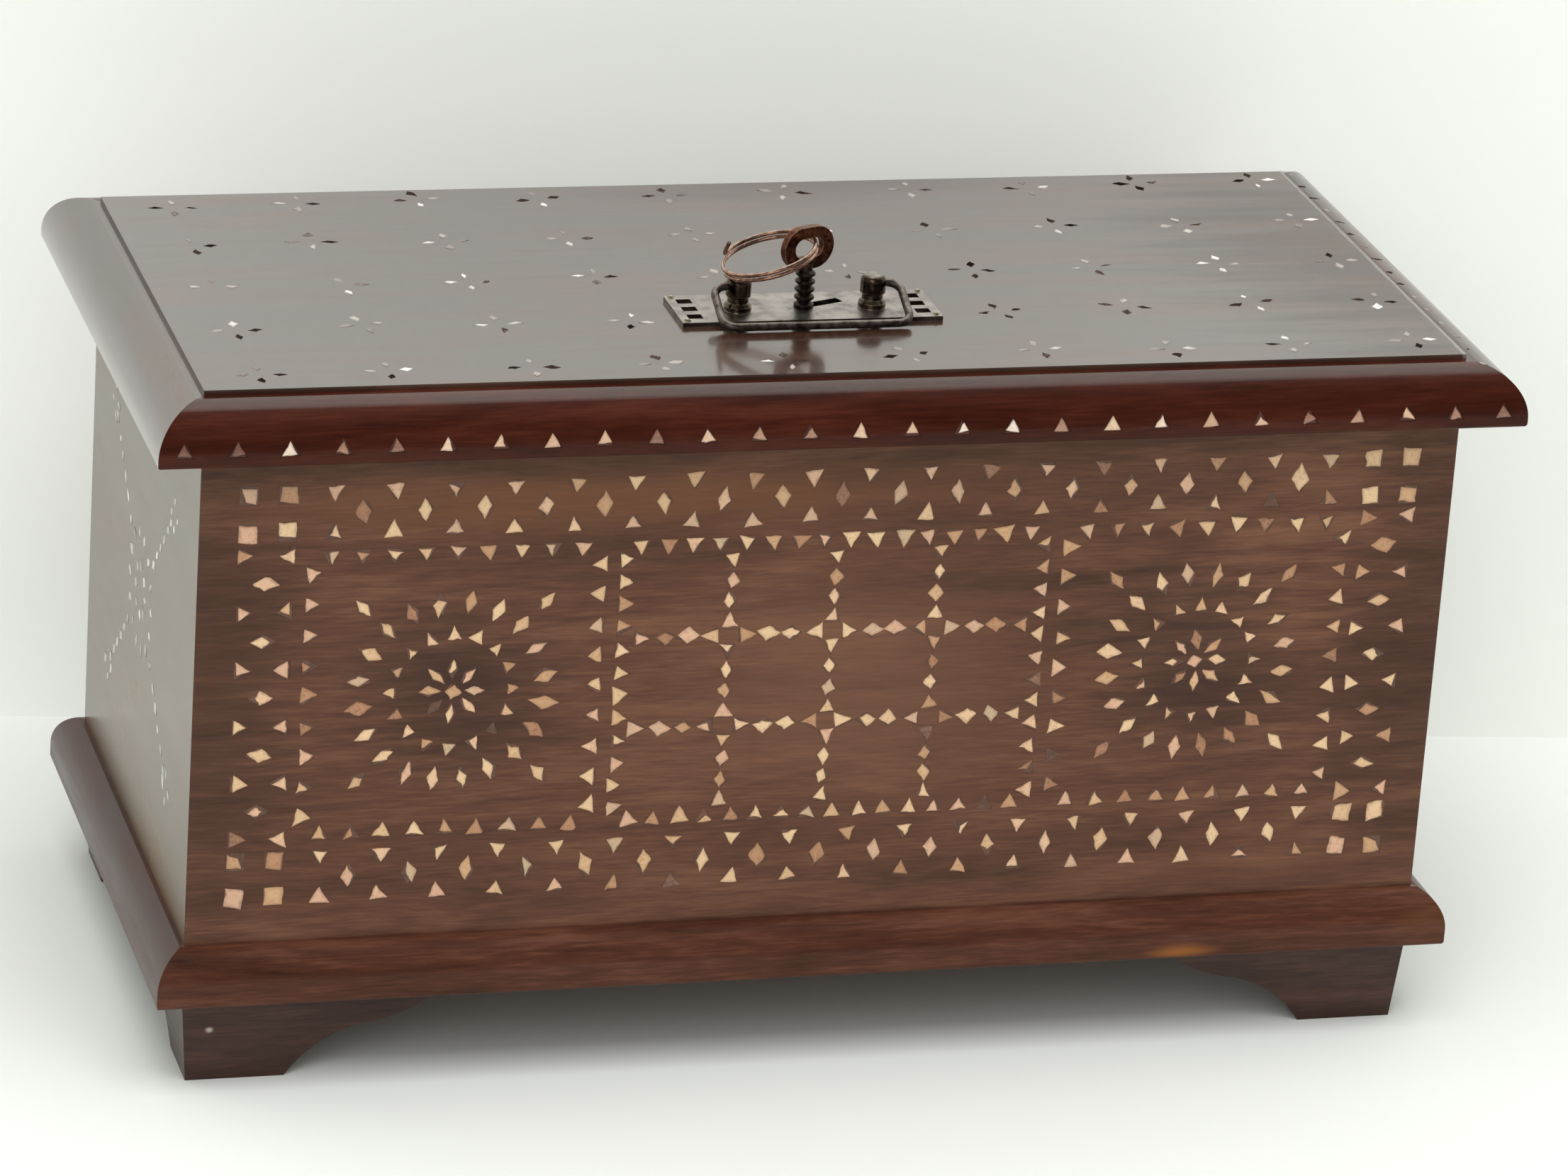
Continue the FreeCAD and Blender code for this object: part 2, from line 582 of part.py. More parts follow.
class Layout:
    """Outlines of the chips in the front's plane, about the middle of the front."""

    def __init__(self):
        self.base = value("triangle_base")
        self.rise = value("triangle_rise")
        self.length = value("diamond_length")
        self.width = value("diamond_width")
        self.triangles = []
        self.lozenges = []
        self.squares = []

    def triangle(self, at, to):
        self.triangles.append(triangle(at, to, self.base, self.rise))

    def square(self, at, side, turn=45.0):
        diagonal = side * math.sqrt(2)
        self.squares.append(lozenge(at, ray(turn), diagonal, diagonal))

    def border(self):
        """Pairs of facing triangles with lozenges between, and four squares in each corner."""
        half_x = value("side_face - border_inset")
        half_z = value("wall_height / 2 - border_inset")
        row = value("border_row")
        pitch = value("border_pitch")
        clear = value("border_clear")
        for along, across, run, far in ((ACROSS, UP, half_x, half_z), (UP, ACROSS, half_z, half_x)):
            steps = int(2 * (run - clear) / pitch)
            for side in (-1, 1):
                for step in range(steps + 1):
                    middle = along * ((step - steps / 2) * pitch) + across * (side * far)
                    self.triangle(middle + across * row, -across)
                    self.triangle(middle - across * row, across)
                    if step < steps:
                        between = middle + along * (pitch / 2)
                        self.lozenges.append(lozenge(between, across, self.length, self.width))
        for side in (-1, 1):
            for level in (-1, 1):
                corner = ACROSS * (side * half_x) + UP * (level * half_z)
                for degrees in (45, 135, 225, 315):
                    at = corner + ray(degrees) * (row * math.sqrt(2))
                    self.square(at, value("square_side"))

    def frame(self, centre, half_x, half_z, count_x, count_z):
        """Triangles round a rectangle, all pointing inwards."""
        for along, across, run, far, count in (
            (ACROSS, UP, half_x, half_z, count_x),
            (UP, ACROSS, half_z, half_x, count_z),
        ):
            pitch = 2 * run / count
            for side in (-1, 1):
                for step in range(count):
                    spot = along * ((step + 0.5) * pitch - run) + across * (side * far)
                    self.triangle(centre + spot, across * -side)

    def rosette(self, centre, reach):
        """Square, petals, ring of small triangles, ring of lozenges and a lozenge in each corner."""
        small = value("spark_side") * reach
        petal = (value("petal_length") * reach, value("petal_width") * reach)
        long_chip = (value("ray_length") * reach, value("ray_width") * reach)
        self.square(centre, value("petal_width") * reach, 0.0)
        for degrees in range(0, 360, 45):
            out = ray(degrees)
            at = centre + out * (value("petal_ring") * reach)
            self.lozenges.append(lozenge(at, out, *petal))
        for step in range(16):
            out = ray(step * 22.5)
            at = centre + out * (value("spark_ring") * reach)
            self.triangles.append(triangle(at, out, small, small))
        for step in range(20):
            out = ray(step * 18.0 + 9.0)
            at = centre + out * (value("ray_ring") * reach)
            self.lozenges.append(lozenge(at, out, *long_chip))
        for degrees in (45, 135, 225, 315):
            out = ray(degrees)
            at = centre + out * (value("spandrel_ring") * reach)
            self.lozenges.append(lozenge(at, out, *long_chip))

    def grid_line(self, start, stop):
        """From crossing to crossing: a triangle pointing away from each, two lozenges between."""
        cell = (stop - start).Length
        along = (stop - start) / cell
        side = value("line_triangle") * cell
        length = value("line_lozenge") * cell
        tip = value("line_gap") * cell + side / 2
        middle = (start + stop) / 2
        for end, to in ((start, along), (stop, -along)):
            self.triangles.append(triangle(end + to * tip, to, side, side))
            at = middle - to * (length * 0.56)
            self.lozenges.append(lozenge(at, along, length, value("line_width") * cell))

    def grid(self):
        """Grid of cells in the middle, framed like the two rosettes."""
        half_x = value("grid_half")
        half_z = value("panel_rise")
        columns = max(2, round(2 * half_x / value("grid_pitch")))
        rows = 3
        width = 2 * half_x / columns
        height = 2 * half_z / rows
        pitch = value("cell_pitch")
        self.frame(Vector(), half_x, half_z, columns * round(width / pitch), rows * round(height / pitch))
        for column in range(1, columns):
            x = ACROSS * (column * width - half_x)
            for row in range(rows):
                low = x + UP * (row * height - half_z)
                self.grid_line(low, low + UP * height)
        for row in range(1, rows):
            z = UP * (row * height - half_z)
            for column in range(columns):
                left = z + ACROSS * (column * width - half_x)
                self.grid_line(left, left + ACROSS * width)


def grown(outline, margin):
    """The same outline with its edges moved out by a margin, for the chip's seat."""
    middle = sum(outline, Vector()) / len(outline)
    first, second = outline[0], outline[1]
    edge = (second - first) / (second - first).Length
    reach = ((middle - first) - edge * (middle - first).dot(edge)).Length
    return [middle + (corner - middle) * (1 + margin / reach) for corner in outline]


def prism(outline, depth):
    """Solid of an outline, run inwards from the face that it lies in."""
    return Part.Face(Part.makePolygon(outline + outline[:1])).extrude(INWARD * depth)


def make_front():
    """Front wall with a seat for every chip, and the chips in three groups."""
    layout = Layout()
    layout.border()
    layout.grid()
    for side in (-1, 1):
        centre = ACROSS * (side * value("panel_middle"))
        halves = (value("panel_run"), value("panel_rise"))
        counts = [round(2 * half / value("panel_pitch")) for half in halves]
        layout.frame(centre, *halves, *counts)
        layout.rosette(centre, min(halves))
    depth = value("chip_depth")
    margin = value("chip_clearance")
    origin = Vector(0, value("-front_face"), value("wall_foot + wall_height / 2"))
    groups = (
        ("triangles", layout.triangles),
        ("lozenges", layout.lozenges),
        ("squares", layout.squares),
    )
    seats = []
    for name, outlines in groups:
        placed = [[origin + corner for corner in outline] for outline in outlines]
        chips = [prism(outline, depth) for outline in placed]
        seats += [prism(grown(outline, margin), depth) for outline in placed]
        node(solids(f"front_{name}", chips), f"front_inlay_{name}")
    blank = make_wall(*SIDES[0])
    tool = solids("front_seats", seats + keeper_screw_holes())
    node(cut(blank, tool, "front"), "front_panel")


def make_lid_rails():
    """Lid rails; the front one carries a row of triangles, and the back one clears the hinges."""
    for name, run, face, turn in SIDES:
        rail = make_rail(
            f"lid_{name}", lid_section(face), run, face, "lid_overhang", "0", "lid_under", turn
        )
        if name == "front":
            chips, seats = edge_chips(run, face)
            node(common(rail, chips, "lid_edge_rounded"), "lid_edge_inlay")
            rail = cut(rail, seats, "lid_rail_front_cut")
        elif name == "back":
            rooms = solids("knuckle_rooms", [knuckle_room(side) for side in (-1, 1)])
            rail = cut(rail, rooms, "lid_rail_back_cut")
        node(rail, f"lid_rail_{name}")


def edge_chips(run, face):
    """Row of triangles for the front rail, still to be rounded with its ovolo, and their seats."""
    depth = value("edge_depth")
    count = int(value(f"2 * {run} / edge_pitch")) + 2
    pitch = value(f"2 * ({run} + lid_overhang)") / count
    chips, seats = [], []
    for step in range(count):
        x = (step - (count - 1) / 2) * pitch
        at = Vector(x, value(f"-{face} - lid_overhang"), value("lid_under + edge_height"))
        outline = triangle(at, UP, value("triangle_base"), value("edge_rise"))
        chips.append(prism(outline, depth))
        seats.append(prism(grown(outline, value("chip_clearance")), depth))
    return solids("lid_edge_chips", chips), solids("lid_edge_seats", seats)


# Hinges


def knuckle_room(side):
    """Room for a hinge's knuckles in the lower edge of the back rail."""
    clear = value("knuckle_clearance")
    length = value("hinge_length") + 2 * clear
    top = value("pin_z + knuckle_radius") + clear
    back = value("pin_y + knuckle_radius") + clear
    start = value("front_face - cut_margin")
    corner = Vector(side * value("hinge_offset") - length / 2, start, value("lid_under - cut_margin"))
    return Part.makeBox(length, back - start, top - corner.z, corner)


def screw(at, to, play=0.0):
    """Countersunk wood screw with its head flush at a point and its tip along a direction."""
    head = value("leaf_thickness")
    shank = value("screw_radius") + play
    cone = Part.makeCone(value("screw_head_radius") + play, shank, head, at, to)
    tip = at + to * head
    return cone.fuse(Part.makeCylinder(shank, value("screw_length") + play, tip, to)).removeSplitter()


def hinge_screws(play=0.0):
    """Screws of both hinges: those down into the back wall, and those up into the lid."""
    y = value("front_face - wall / 2")
    down, up = [], []
    for side in (-1, 1):
        for shift in (-1, 1):
            x = side * value("hinge_offset") + shift * value("screw_spread")
            down.append(screw(Vector(x, y, value("rim")), -UP, play))
            up.append(screw(Vector(x, y, value("lid_under")), UP, play))
    return down, up


def make_leaf(name, side, lower, holes):
    """Hinge leaf with its knuckles: the lower leaf has the two outer ones, the upper the middle one."""
    body = new_body(name)
    sign = "-" if lower else ""
    near = f"{sign}lid_gap / 2"
    far = f"{sign}(lid_gap / 2 + leaf_thickness)"
    bend = 1 if lower else -1
    section = new_sketch(body, "YZ_Plane")
    back = "-knuckle_radius - knuckle_clearance - wall"
    draw(section, [
        (back, far),
        (f"-sqrt(knuckle_radius ^ 2 - (lid_gap / 2 + leaf_thickness) ^ 2)", far, "knuckle_radius", bend),
        ("0", f"{sign}knuckle_radius", "knuckle_radius", bend),
        ("knuckle_radius", "0", "knuckle_radius", bend),
        ("0", f"{'' if lower else '-'}knuckle_radius", "knuckle_radius", bend),
        (f"-sqrt(knuckle_radius ^ 2 - (lid_gap / 2) ^ 2)", near),
        (back, near),
    ])
    draw_circle(section, "0", "0", "pin_radius + pin_play")
    pad(body, section, "hinge_length", symmetric=True)
    rooms = new_sketch(body, "XY_Plane")
    inner = "-knuckle_radius - knuckle_clearance / 2"
    outer = "knuckle_radius + cut_margin"
    if lower:
        half = "knuckle_third + knuckle_clearance"
        draw_box(rooms, f"-({half})", inner, half, outer)
    else:
        draw_box(rooms, "-hinge_length", inner, "-knuckle_third", outer)
        draw_box(rooms, "knuckle_third", inner, "hinge_length", outer)
    pocket(body, rooms, symmetric=True)
    place(body, f"{side}hinge_offset", "pin_y", "pin_z")
    return cut(body, holes, f"{name}_cut")


def make_hinges(down_holes, up_holes):
    for side_name, side in (("left", "-"), ("right", "")):
        node(make_leaf(f"lower_{side_name}", side, True, down_holes), f"hinge_lower_leaf_{side_name}")
        node(make_leaf(f"upper_{side_name}", side, False, up_holes), f"hinge_upper_leaf_{side_name}")
        pin = doc.addObject("Part::Cylinder", f"pin_{side_name}")
        pin.setExpression("Radius", expr("pin_radius"))
        pin.setExpression("Height", expr("hinge_length"))
        place(pin, f"{side}hinge_offset - hinge_length / 2", "pin_y", "pin_z", 90.0, INWARD)
        node(pin, f"hinge_pin_{side_name}")
    down, up = hinge_screws()
    node(solids("screws_down", down), "hinge_screws_lower")
    node(solids("screws_up", up), "hinge_screws_upper")


# Lid board and handle


def keyhole_corners():
    """Keyhole: a round for the shank and a slot for the bit."""
    neck = "sqrt(keyhole_radius ^ 2 - keyhole_half ^ 2)"
    return [
        (neck, "keyhole_half"),
        ("keyhole_reach", "keyhole_half"),
        ("keyhole_reach", "-keyhole_half"),
        (neck, "-keyhole_half", "keyhole_radius", -1),
        ("-keyhole_radius", "0", "keyhole_radius", -1),
    ]


def turned(corners):
    """Corners turned with the key about its axis."""
    cosine, sine = "cos(key_angle * 1 deg)", "sin(key_angle * 1 deg)"
    return [
        (f"({x}) * {cosine} - ({y}) * {sine}", f"({x}) * {sine} + ({y}) * {cosine}", *arc)
        for x, y, *arc in corners
    ]


def make_lid_board(up_holes):
    """Board with the keyhole, the studs' holes and the seats of the upper hinge leaves."""
    body = new_body("board")
    plan = new_sketch(body, "XY_Plane")
    draw_box(plan, "-side_face", "-front_face + key_offset", "side_face", "front_face + key_offset")
    draw(plan, turned(keyhole_corners()))
    for side in ("-", ""):
        draw_circle(plan, f"{side}post_spread", "-post_offset", "stud_radius + screw_play")
    pad(body, plan, "lid_thickness")
    seats = new_sketch(body, "XY_Plane")
    for side in ("-", ""):
        draw_box(
            seats,
            f"{side}hinge_offset - hinge_length / 2 - knuckle_clearance",
            "front_face + key_offset - wall - knuckle_clearance",
            f"{side}hinge_offset + hinge_length / 2 + knuckle_clearance",
            "front_face + key_offset + leaf_thickness",
        )
    pocket(body, seats, "leaf_thickness", backward=True)
    place(body, "0", "-key_offset", "lid_under")
    tool = cut_tools("lid_holes", up_holes, case_screws(value("screw_play")), tacks(value("screw_play")))
    node(cut(body, tool, "lid"), "lid_board")


def cut_tools(name, *groups):
    """One cutting tool from an object and lists of solids."""
    first = groups[0].Shape.Solids
    return solids(name, first + [shape for group in groups[1:] for shape in group])


def make_plate():
    """Pierced handle plate: keyhole, studs' holes and a column of slots at each end."""
    body = new_body("plate")
    plan = new_sketch(body, "XY_Plane")
    draw_box(plan, "-plate_length / 2", "-plate_depth / 2", "plate_length / 2", "plate_depth / 2")
    draw(plan, turned(keyhole_corners()))
    for side in ("-", ""):
        draw_circle(plan, f"{side}post_spread", "-post_offset", "stud_radius + screw_play")
        for shift in ("-slot_pitch", "0", "slot_pitch"):
            middle = f"{side}(plate_length / 2 - slot_margin)"
            draw_box(
                plan,
                f"{middle} - slot_length / 2",
                f"{shift} - slot_width / 2",
                f"{middle} + slot_length / 2",
                f"{shift} + slot_width / 2",
            )
    pad(body, plan, "plate_thickness")
    place(body, "0", "-key_offset", "lid_top")
    tool = solids("plate_holes", tacks(value("screw_play")))
    node(cut(body, tool, "plate_cut"), "handle_plate")
    node(solids("plate_tacks", tacks()), "handle_plate_tacks")


def tacks(play=0.0):
    """Tacks at the corners of the handle plate."""
    made = []
    inset = value("tack_margin")
    top = value("plate_top")
    shank = value("tack_radius") + play
    length = value("plate_thickness + tack_length") + play
    for side in (-1, 1):
        for level in (-1, 1):
            x = side * (value("plate_length / 2") - inset)
            y = value("-key_offset") + level * (value("plate_depth / 2") - inset)
            at = Vector(x, y, top)
            tack = Part.makeCylinder(shank, length, at, -UP)
            head = value("tack_head_radius")
            height = value("tack_head_height")
            tack = tack.fuse(Part.makeCone(head, head / 2, height, at, UP)).removeSplitter()
            made.append(tack)
    return made


def make_posts():
    """Turned posts with a stud through the lid, a nut under it and a hole for the bail's end."""
    nuts = []
    for side_name, side, turn in (("left", "-", 0.0), ("right", "", 180.0)):
        body = new_body(f"post_{side_name}")
        half = new_sketch(body, "XZ_Plane")
        stud = "-(plate_thickness + lid_thickness + nut_height)"
        draw(half, [
            ("0", stud),
            ("stud_radius", stud),
            ("stud_radius", "0"),
            ("post_base_radius", "0"),
            ("post_base_radius", "post_base_height"),
            ("post_neck_radius", "post_base_height + post_base_radius - post_neck_radius"),
            ("post_neck_radius", "post_neck_height - cap_radius + post_neck_radius"),
            ("cap_radius", "post_neck_height"),
            ("cap_radius", "post_height - cap_round", "cap_round", 1),
            ("cap_radius - cap_round", "post_height"),
            ("0", "post_height"),
        ])
        revolve(body, half)
        hole = new_sketch(body, "YZ_Plane")
        draw_circle(hole, "0", "bail_height", "bail_wire + bail_play")
        pocket(body, hole)
        place(body, f"{side}post_spread", "post_y", "plate_top", turn)
        node(body, f"handle_post_{side_name}")
        nut = doc.addObject("Part::Prism", f"nut_{side_name}")
        nut.Polygon = 6
        nut.setExpression("Circumradius", expr("nut_radius"))
        nut.setExpression("Height", expr("nut_height"))
        place(nut, f"{side}post_spread", "post_y", "lid_under - nut_height")
        bore = doc.addObject("Part::Cylinder", f"nut_bore_{side_name}")
        bore.setExpression("Radius", expr("stud_radius + screw_play"))
        bore.setExpression("Height", expr("nut_height"))
        place(bore, f"{side}post_spread", "post_y", "lid_under - nut_height")
        nuts.append(cut(nut, bore, f"nut_{side_name}_cut"))
    group = doc.addObject("Part::Compound", "nuts")
    group.Links = nuts
    node(group, "handle_nuts")


def make_bail():
    """Bail bent from one bar, its ends turned into the posts, lying down towards the front."""
    body = new_body("bail")
    path = new_sketch(body, "XY_Plane")
    end = "post_spread + cap_radius - bail_entry"
    turn_in = "bail_half - bail_bend"
    corner = "-bail_reach + bail_bend"
    draw(path, [
        (f"-({end})", "0"),
        (f"-({turn_in})", "0", "bail_bend", 1),
        ("-bail_half", "-bail_bend"),
        ("-bail_half", corner, "bail_bend", 1),
        (f"-({turn_in})", "-bail_reach"),
        (turn_in, "-bail_reach", "bail_bend", 1),
        ("bail_half", corner),
        ("bail_half", "-bail_bend", "bail_bend", 1),
        (turn_in, "0"),
        (end, "0"),
    ], closed=False)
    ring = new_sketch(body, "YZ_Plane", f"-({end})")
    draw_circle(ring, "0", "0", "bail_wire")
    doc.recompute()
    bar = body.newObject("PartDesign::AdditivePipe", "bail_bar")
    bar.Profile = ring
    bar.Spine = (path, [f"Edge{index + 1}" for index in range(len(path.Shape.Edges))])
    drop = value("plate_thickness + bail_height - bail_rest - bail_wire")
    droop = math.degrees(math.asin(drop / value("bail_reach")))
    place(body, "0", "post_y", "plate_top + bail_height", droop, ACROSS)
    node(body, "bail")
    return droop


# Lock, key and key ring


def make_key():
    """Turned shank with collars, flat oval bow and a bit at the foot."""
    body = new_body("key")
    half = new_sketch(body, "XZ_Plane")
    corners = [("0", "-key_depth"), ("key_shank", "-key_depth")]
    for step in range(5):
        low = f"key_rest + {step} * key_collar_pitch"
        corners += [
            ("key_shank", f"{low} - {'key_collar_slope' if step else '0'}"),
            ("key_collar", low),
            ("key_collar", f"{low} + key_collar_height"),
            ("key_shank", f"{low} + key_collar_height + key_collar_slope"),
        ]
    top = "bow_height - bow_eye_rise - (bow_rise - bow_eye_rise) / 2"
    corners += [("key_shank", top), ("0", top)]
    draw(half, corners)
    revolve(body, half)
    bow = new_sketch(body, "XZ_Plane")
    for half_width, rise in (("bow_half", "bow_rise"), ("bow_eye_half", "bow_eye_rise")):
        flat = f"{half_width} - {rise}"
        draw(bow, [
            (f"{flat}", f"bow_height + {rise}"),
            (f"-({flat})", f"bow_height + {rise}", rise, 1),
            (f"-({half_width})", "bow_height", rise, 1),
            (f"-({flat})", f"bow_height - {rise}"),
            (flat, f"bow_height - {rise}", rise, 1),
            (half_width, "bow_height", rise, 1),
        ])
    pad(body, bow, "bow_thickness", symmetric=True)
    bit = new_sketch(body, "XZ_Plane")
    draw_box(bit, "0", "-key_depth", "bit_reach", "-key_depth + bit_height")
    pad(body, bit, "bit_thickness", symmetric=True)
    place(body, "0", "-key_offset", "plate_top", value("key_angle"))
    node(body, "key")


def make_key_ring():
    """Ring of square wire through the bow, leaning on the left post."""
    top = value("plate_top + post_height + ring_wire + ring_rest")
    lean = math.asin((value("ring_hold") - top) / value("2 * ring_radius"))
    ring = new_body("ring")
    section = new_sketch(ring, "XZ_Plane")
    draw_box(section, "ring_radius - ring_wire", "-ring_wire", "ring_radius + ring_wire", "ring_wire")
    revolve(ring, section)
    across = f"ring_radius * {math.cos(lean)}"
    down = f"ring_radius * {math.sin(lean)}"
    place(ring, f"ring_shift - {across}", "-key_offset", f"ring_hold - {down}", -math.degrees(lean), INWARD)
    node(ring, "key_ring")
    return lean


def case_screws(play=0.0):
    """Round-headed screws through the four tabs of the lock case."""
    made = []
    sheet_metal = value("case_wall")
    across = value("case_half + tab_width / 2")
    for x in (-across, across):
        for y in ("-key_offset - case_front + tab_length / 2", "-key_offset + case_back - tab_length / 2"):
            at = Vector(x, value(y), value("lid_under") - sheet_metal)
            length = sheet_metal + value("screw_length") + play
            shank = Part.makeCylinder(value("screw_radius") + play, length, at, UP)
            head = Part.makeCylinder(value("screw_head_radius"), value("screw_radius"), at, -UP)
            made.append(shank.fuse(head).removeSplitter())
    return made


def make_case():
    """Lock case: a tray against the lid with four tabs and a slot for the bolt's nose."""
    body = new_body("case")
    rim = new_sketch(body, "XY_Plane")
    draw_box(rim, "-case_half", "-case_front", "case_half", "case_back")
    draw_box(
        rim,
        "-case_half + case_wall",
        "-case_front + case_wall",
        "case_half - case_wall",
        "case_back - case_wall",
    )
    pad(body, rim, "case_depth")
    floor = new_sketch(body, "XY_Plane")
    draw_box(floor, "-case_half", "-case_front", "case_half", "case_back")
    draw_circle(floor, "0", "0", "barrel_pivot_radius + pin_play")
    pad(body, floor, "case_wall")
    tabs = new_sketch(body, "XY_Plane", "case_depth - case_wall")
    for start, stop in (("-case_front", "-case_front + tab_length"), ("case_back - tab_length", "case_back")):
        draw_box(tabs, "-case_half - tab_width", start, "-case_half", stop)
        draw_box(tabs, "case_half", start, "case_half + tab_width", stop)
    pad(body, tabs, "case_wall")
    slot = new_sketch(body, "XZ_Plane")
    draw_box(
        slot,
        "-nose_half - running_gap",
        "case_wall",
        "nose_half + running_gap",
        "case_wall + bolt_thickness + 2 * running_gap",
    )
    pocket(body, slot, backward=True)
    place(body, "0", "-key_offset", "lid_under - case_depth")
    tool = solids("case_holes", case_screws(value("screw_play")))
    node(cut(body, tool, "case_cut"), "lock_case")
    node(solids("case_screw_set", case_screws()), "lock_case_screws")


def make_barrel():
    """Barrel that turns with the key: pivot in the case, bore and slot for the key from above."""
    body = new_body("barrel")
    round_plan = new_sketch(body, "XY_Plane")
    draw_circle(round_plan, "0", "0", "barrel_radius")
    pad(body, round_plan, "case_floor - 2 * running_gap")
    pivot = new_sketch(body, "XY_Plane")
    draw_circle(pivot, "0", "0", "barrel_pivot_radius")
    pad(body, pivot, "running_gap + case_wall", backward=True)
    bore = new_sketch(body, "XY_Plane", "barrel_floor")
    draw(bore, keyhole_corners())
    pocket(body, bore, backward=True)
    place(body, "0", "-key_offset", "lid_under - case_floor + running_gap", value("key_angle"))
    node(body, "lock_barrel")


def make_bolt():
    """Bolt: a tail with a window for the barrel and the bit, and a nose towards the front wall."""
    body = new_body("bolt")
    plan = new_sketch(body, "XY_Plane")
    draw(plan, [
        ("-nose_half", "bolt_tip"),
        ("nose_half", "bolt_tip"),
        ("nose_half", "bolt_shoulder"),
        ("bolt_half", "bolt_shoulder"),
        ("bolt_half", "bolt_back + bolt_rail"),
        ("-bolt_half", "bolt_back + bolt_rail"),
        ("-bolt_half", "bolt_shoulder"),
        ("-nose_half", "bolt_shoulder"),
    ])
    draw_box(plan, "-bolt_half + bolt_rail", "-bolt_edge", "bolt_half - bolt_rail", "bolt_back")
    pad(body, plan, "bolt_thickness")
    place(body, "0", "-key_offset", "lid_under - case_floor + running_gap")
    node(body, "lock_bolt")


def keeper_screws(play=0.0):
    """Screws of the keeper, into the front wall from inside."""
    made = []
    y = value("-front_face + wall + keeper_sheet")
    z = value("lid_under - case_floor + running_gap + bolt_thickness - keeper_drop / 2")
    for side in (-1, 1):
        at = Vector(side * value("keeper_screw_spread"), y, z)
        made.append(screw(at, -INWARD, play))
    return made


def keeper_screw_holes():
    return keeper_screws(value("screw_play"))


def make_keeper():
    """Keeper: plate on the front wall with a flange that the bolt slides under."""
    body = new_body("keeper")
    section = new_sketch(body, "YZ_Plane")
    draw(section, [
        ("0", "-keeper_drop"),
        ("keeper_sheet", "-keeper_drop"),
        ("keeper_sheet", "0"),
        ("keeper_flange", "0"),
        ("keeper_flange", "keeper_sheet"),
        ("0", "keeper_sheet"),
    ])
    pad(body, section, "2 * keeper_half", symmetric=True)
    level = "lid_under - case_floor + 2 * running_gap + bolt_thickness"
    place(body, "0", "-front_face + wall", level)
    tool = solids("keeper_holes", keeper_screw_holes())
    node(cut(body, tool, "keeper_cut"), "lock_keeper")
    node(solids("keeper_screw_set", keeper_screws()), "lock_keeper_screws")


def check_and_write():
    """Stop on any failed object or broken shape, then write every sub-part."""
    doc.recompute()
    for item in doc.Objects:
        if "Invalid" in item.State or "Error" in item.State:
            raise RuntimeError(f"{item.Label} did not build: {item.State}")
    for item in NODES:
        if item.Shape.isNull() or not item.Shape.isValid():
            raise RuntimeError(f"{item.Label} has no valid shape")
    os.makedirs("parts", exist_ok=True)
    for item in NODES:
        item.Shape.exportStep(f"parts/{item.Label}.step")
        box = item.Shape.BoundBox
        print(
            f"{item.Label}: {len(item.Shape.Solids)} solids, {item.Shape.Volume:.1f} mm3, "
            f"x {box.XMin:.2f} {box.XMax:.2f}, y {box.YMin:.2f} {box.YMax:.2f}, "
            f"z {box.ZMin:.2f} {box.ZMax:.2f}"
        )


make_base()
make_feet()
make_front()
down_screws, up_screws = hinge_screws(value("screw_play"))
down_tool = solids("holes_down", down_screws)
up_tool = solids("holes_up", up_screws)
for side in SIDES[1:]:
    wall_body = make_wall(*side)
    if side[0] == "back":
        wall_body = cut(wall_body, down_tool, "back_cut")
    node(wall_body, f"{side[0]}_panel")
make_lid_board(up_tool)
make_lid_rails()
make_hinges(down_tool, up_tool)
make_plate()
make_posts()
bail_droop = make_bail()
make_key()
ring_lean = make_key_ring()
make_case()
make_barrel()
make_bolt()
make_keeper()
check_and_write()
print(f"bail droops {bail_droop:.2f} degrees, ring leans {math.degrees(ring_lean):.2f} degrees")
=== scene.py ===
import json
import math

import bpy
import numpy as np
from bpy.props import FloatProperty, FloatVectorProperty, IntProperty, PointerProperty
from mathutils import Matrix, Vector


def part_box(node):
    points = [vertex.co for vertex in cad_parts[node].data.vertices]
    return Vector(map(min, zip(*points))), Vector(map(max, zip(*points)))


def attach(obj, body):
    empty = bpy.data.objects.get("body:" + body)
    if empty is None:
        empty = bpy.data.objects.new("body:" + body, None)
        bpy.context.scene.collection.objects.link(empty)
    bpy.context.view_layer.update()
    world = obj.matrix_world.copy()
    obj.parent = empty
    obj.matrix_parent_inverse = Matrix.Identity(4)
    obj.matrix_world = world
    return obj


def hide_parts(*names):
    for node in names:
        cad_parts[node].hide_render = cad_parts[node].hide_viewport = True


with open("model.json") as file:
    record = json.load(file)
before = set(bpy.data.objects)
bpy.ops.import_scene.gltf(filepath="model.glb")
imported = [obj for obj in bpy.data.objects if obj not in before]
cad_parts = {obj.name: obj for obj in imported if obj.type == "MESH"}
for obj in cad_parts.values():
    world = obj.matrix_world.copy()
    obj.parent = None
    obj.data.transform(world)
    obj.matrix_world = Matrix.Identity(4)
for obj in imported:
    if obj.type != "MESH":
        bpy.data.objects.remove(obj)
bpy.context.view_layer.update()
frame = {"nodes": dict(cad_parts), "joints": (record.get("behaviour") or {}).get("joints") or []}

bl_info = {
    "name": "Inlaid storage chest",
    "version": (1, 0, 0),
    "blender": (4, 5, 0),
    "location": "3D View > Sidebar > Chest",
    "description": "Dresses the storage chest with its woods, inlay and metalwork and sets up its studio",
    "category": "Object",
}

MM = 0.001
IMAGE_WIDTH = 2212

# The lid rails' section: the radius of their round and the height of the lip below it.
LID_ROUND = 15.5 * MM
LID_LIP = 3.0 * MM

FRONT_CHIPS = ("front_inlay_triangles", "front_inlay_lozenges", "front_inlay_squares")
LONG_RAILS = ("front", "back")
SIDE_RAILS = ("left", "right")
CORNERS = ("front_left", "front_right", "back_left", "back_right")


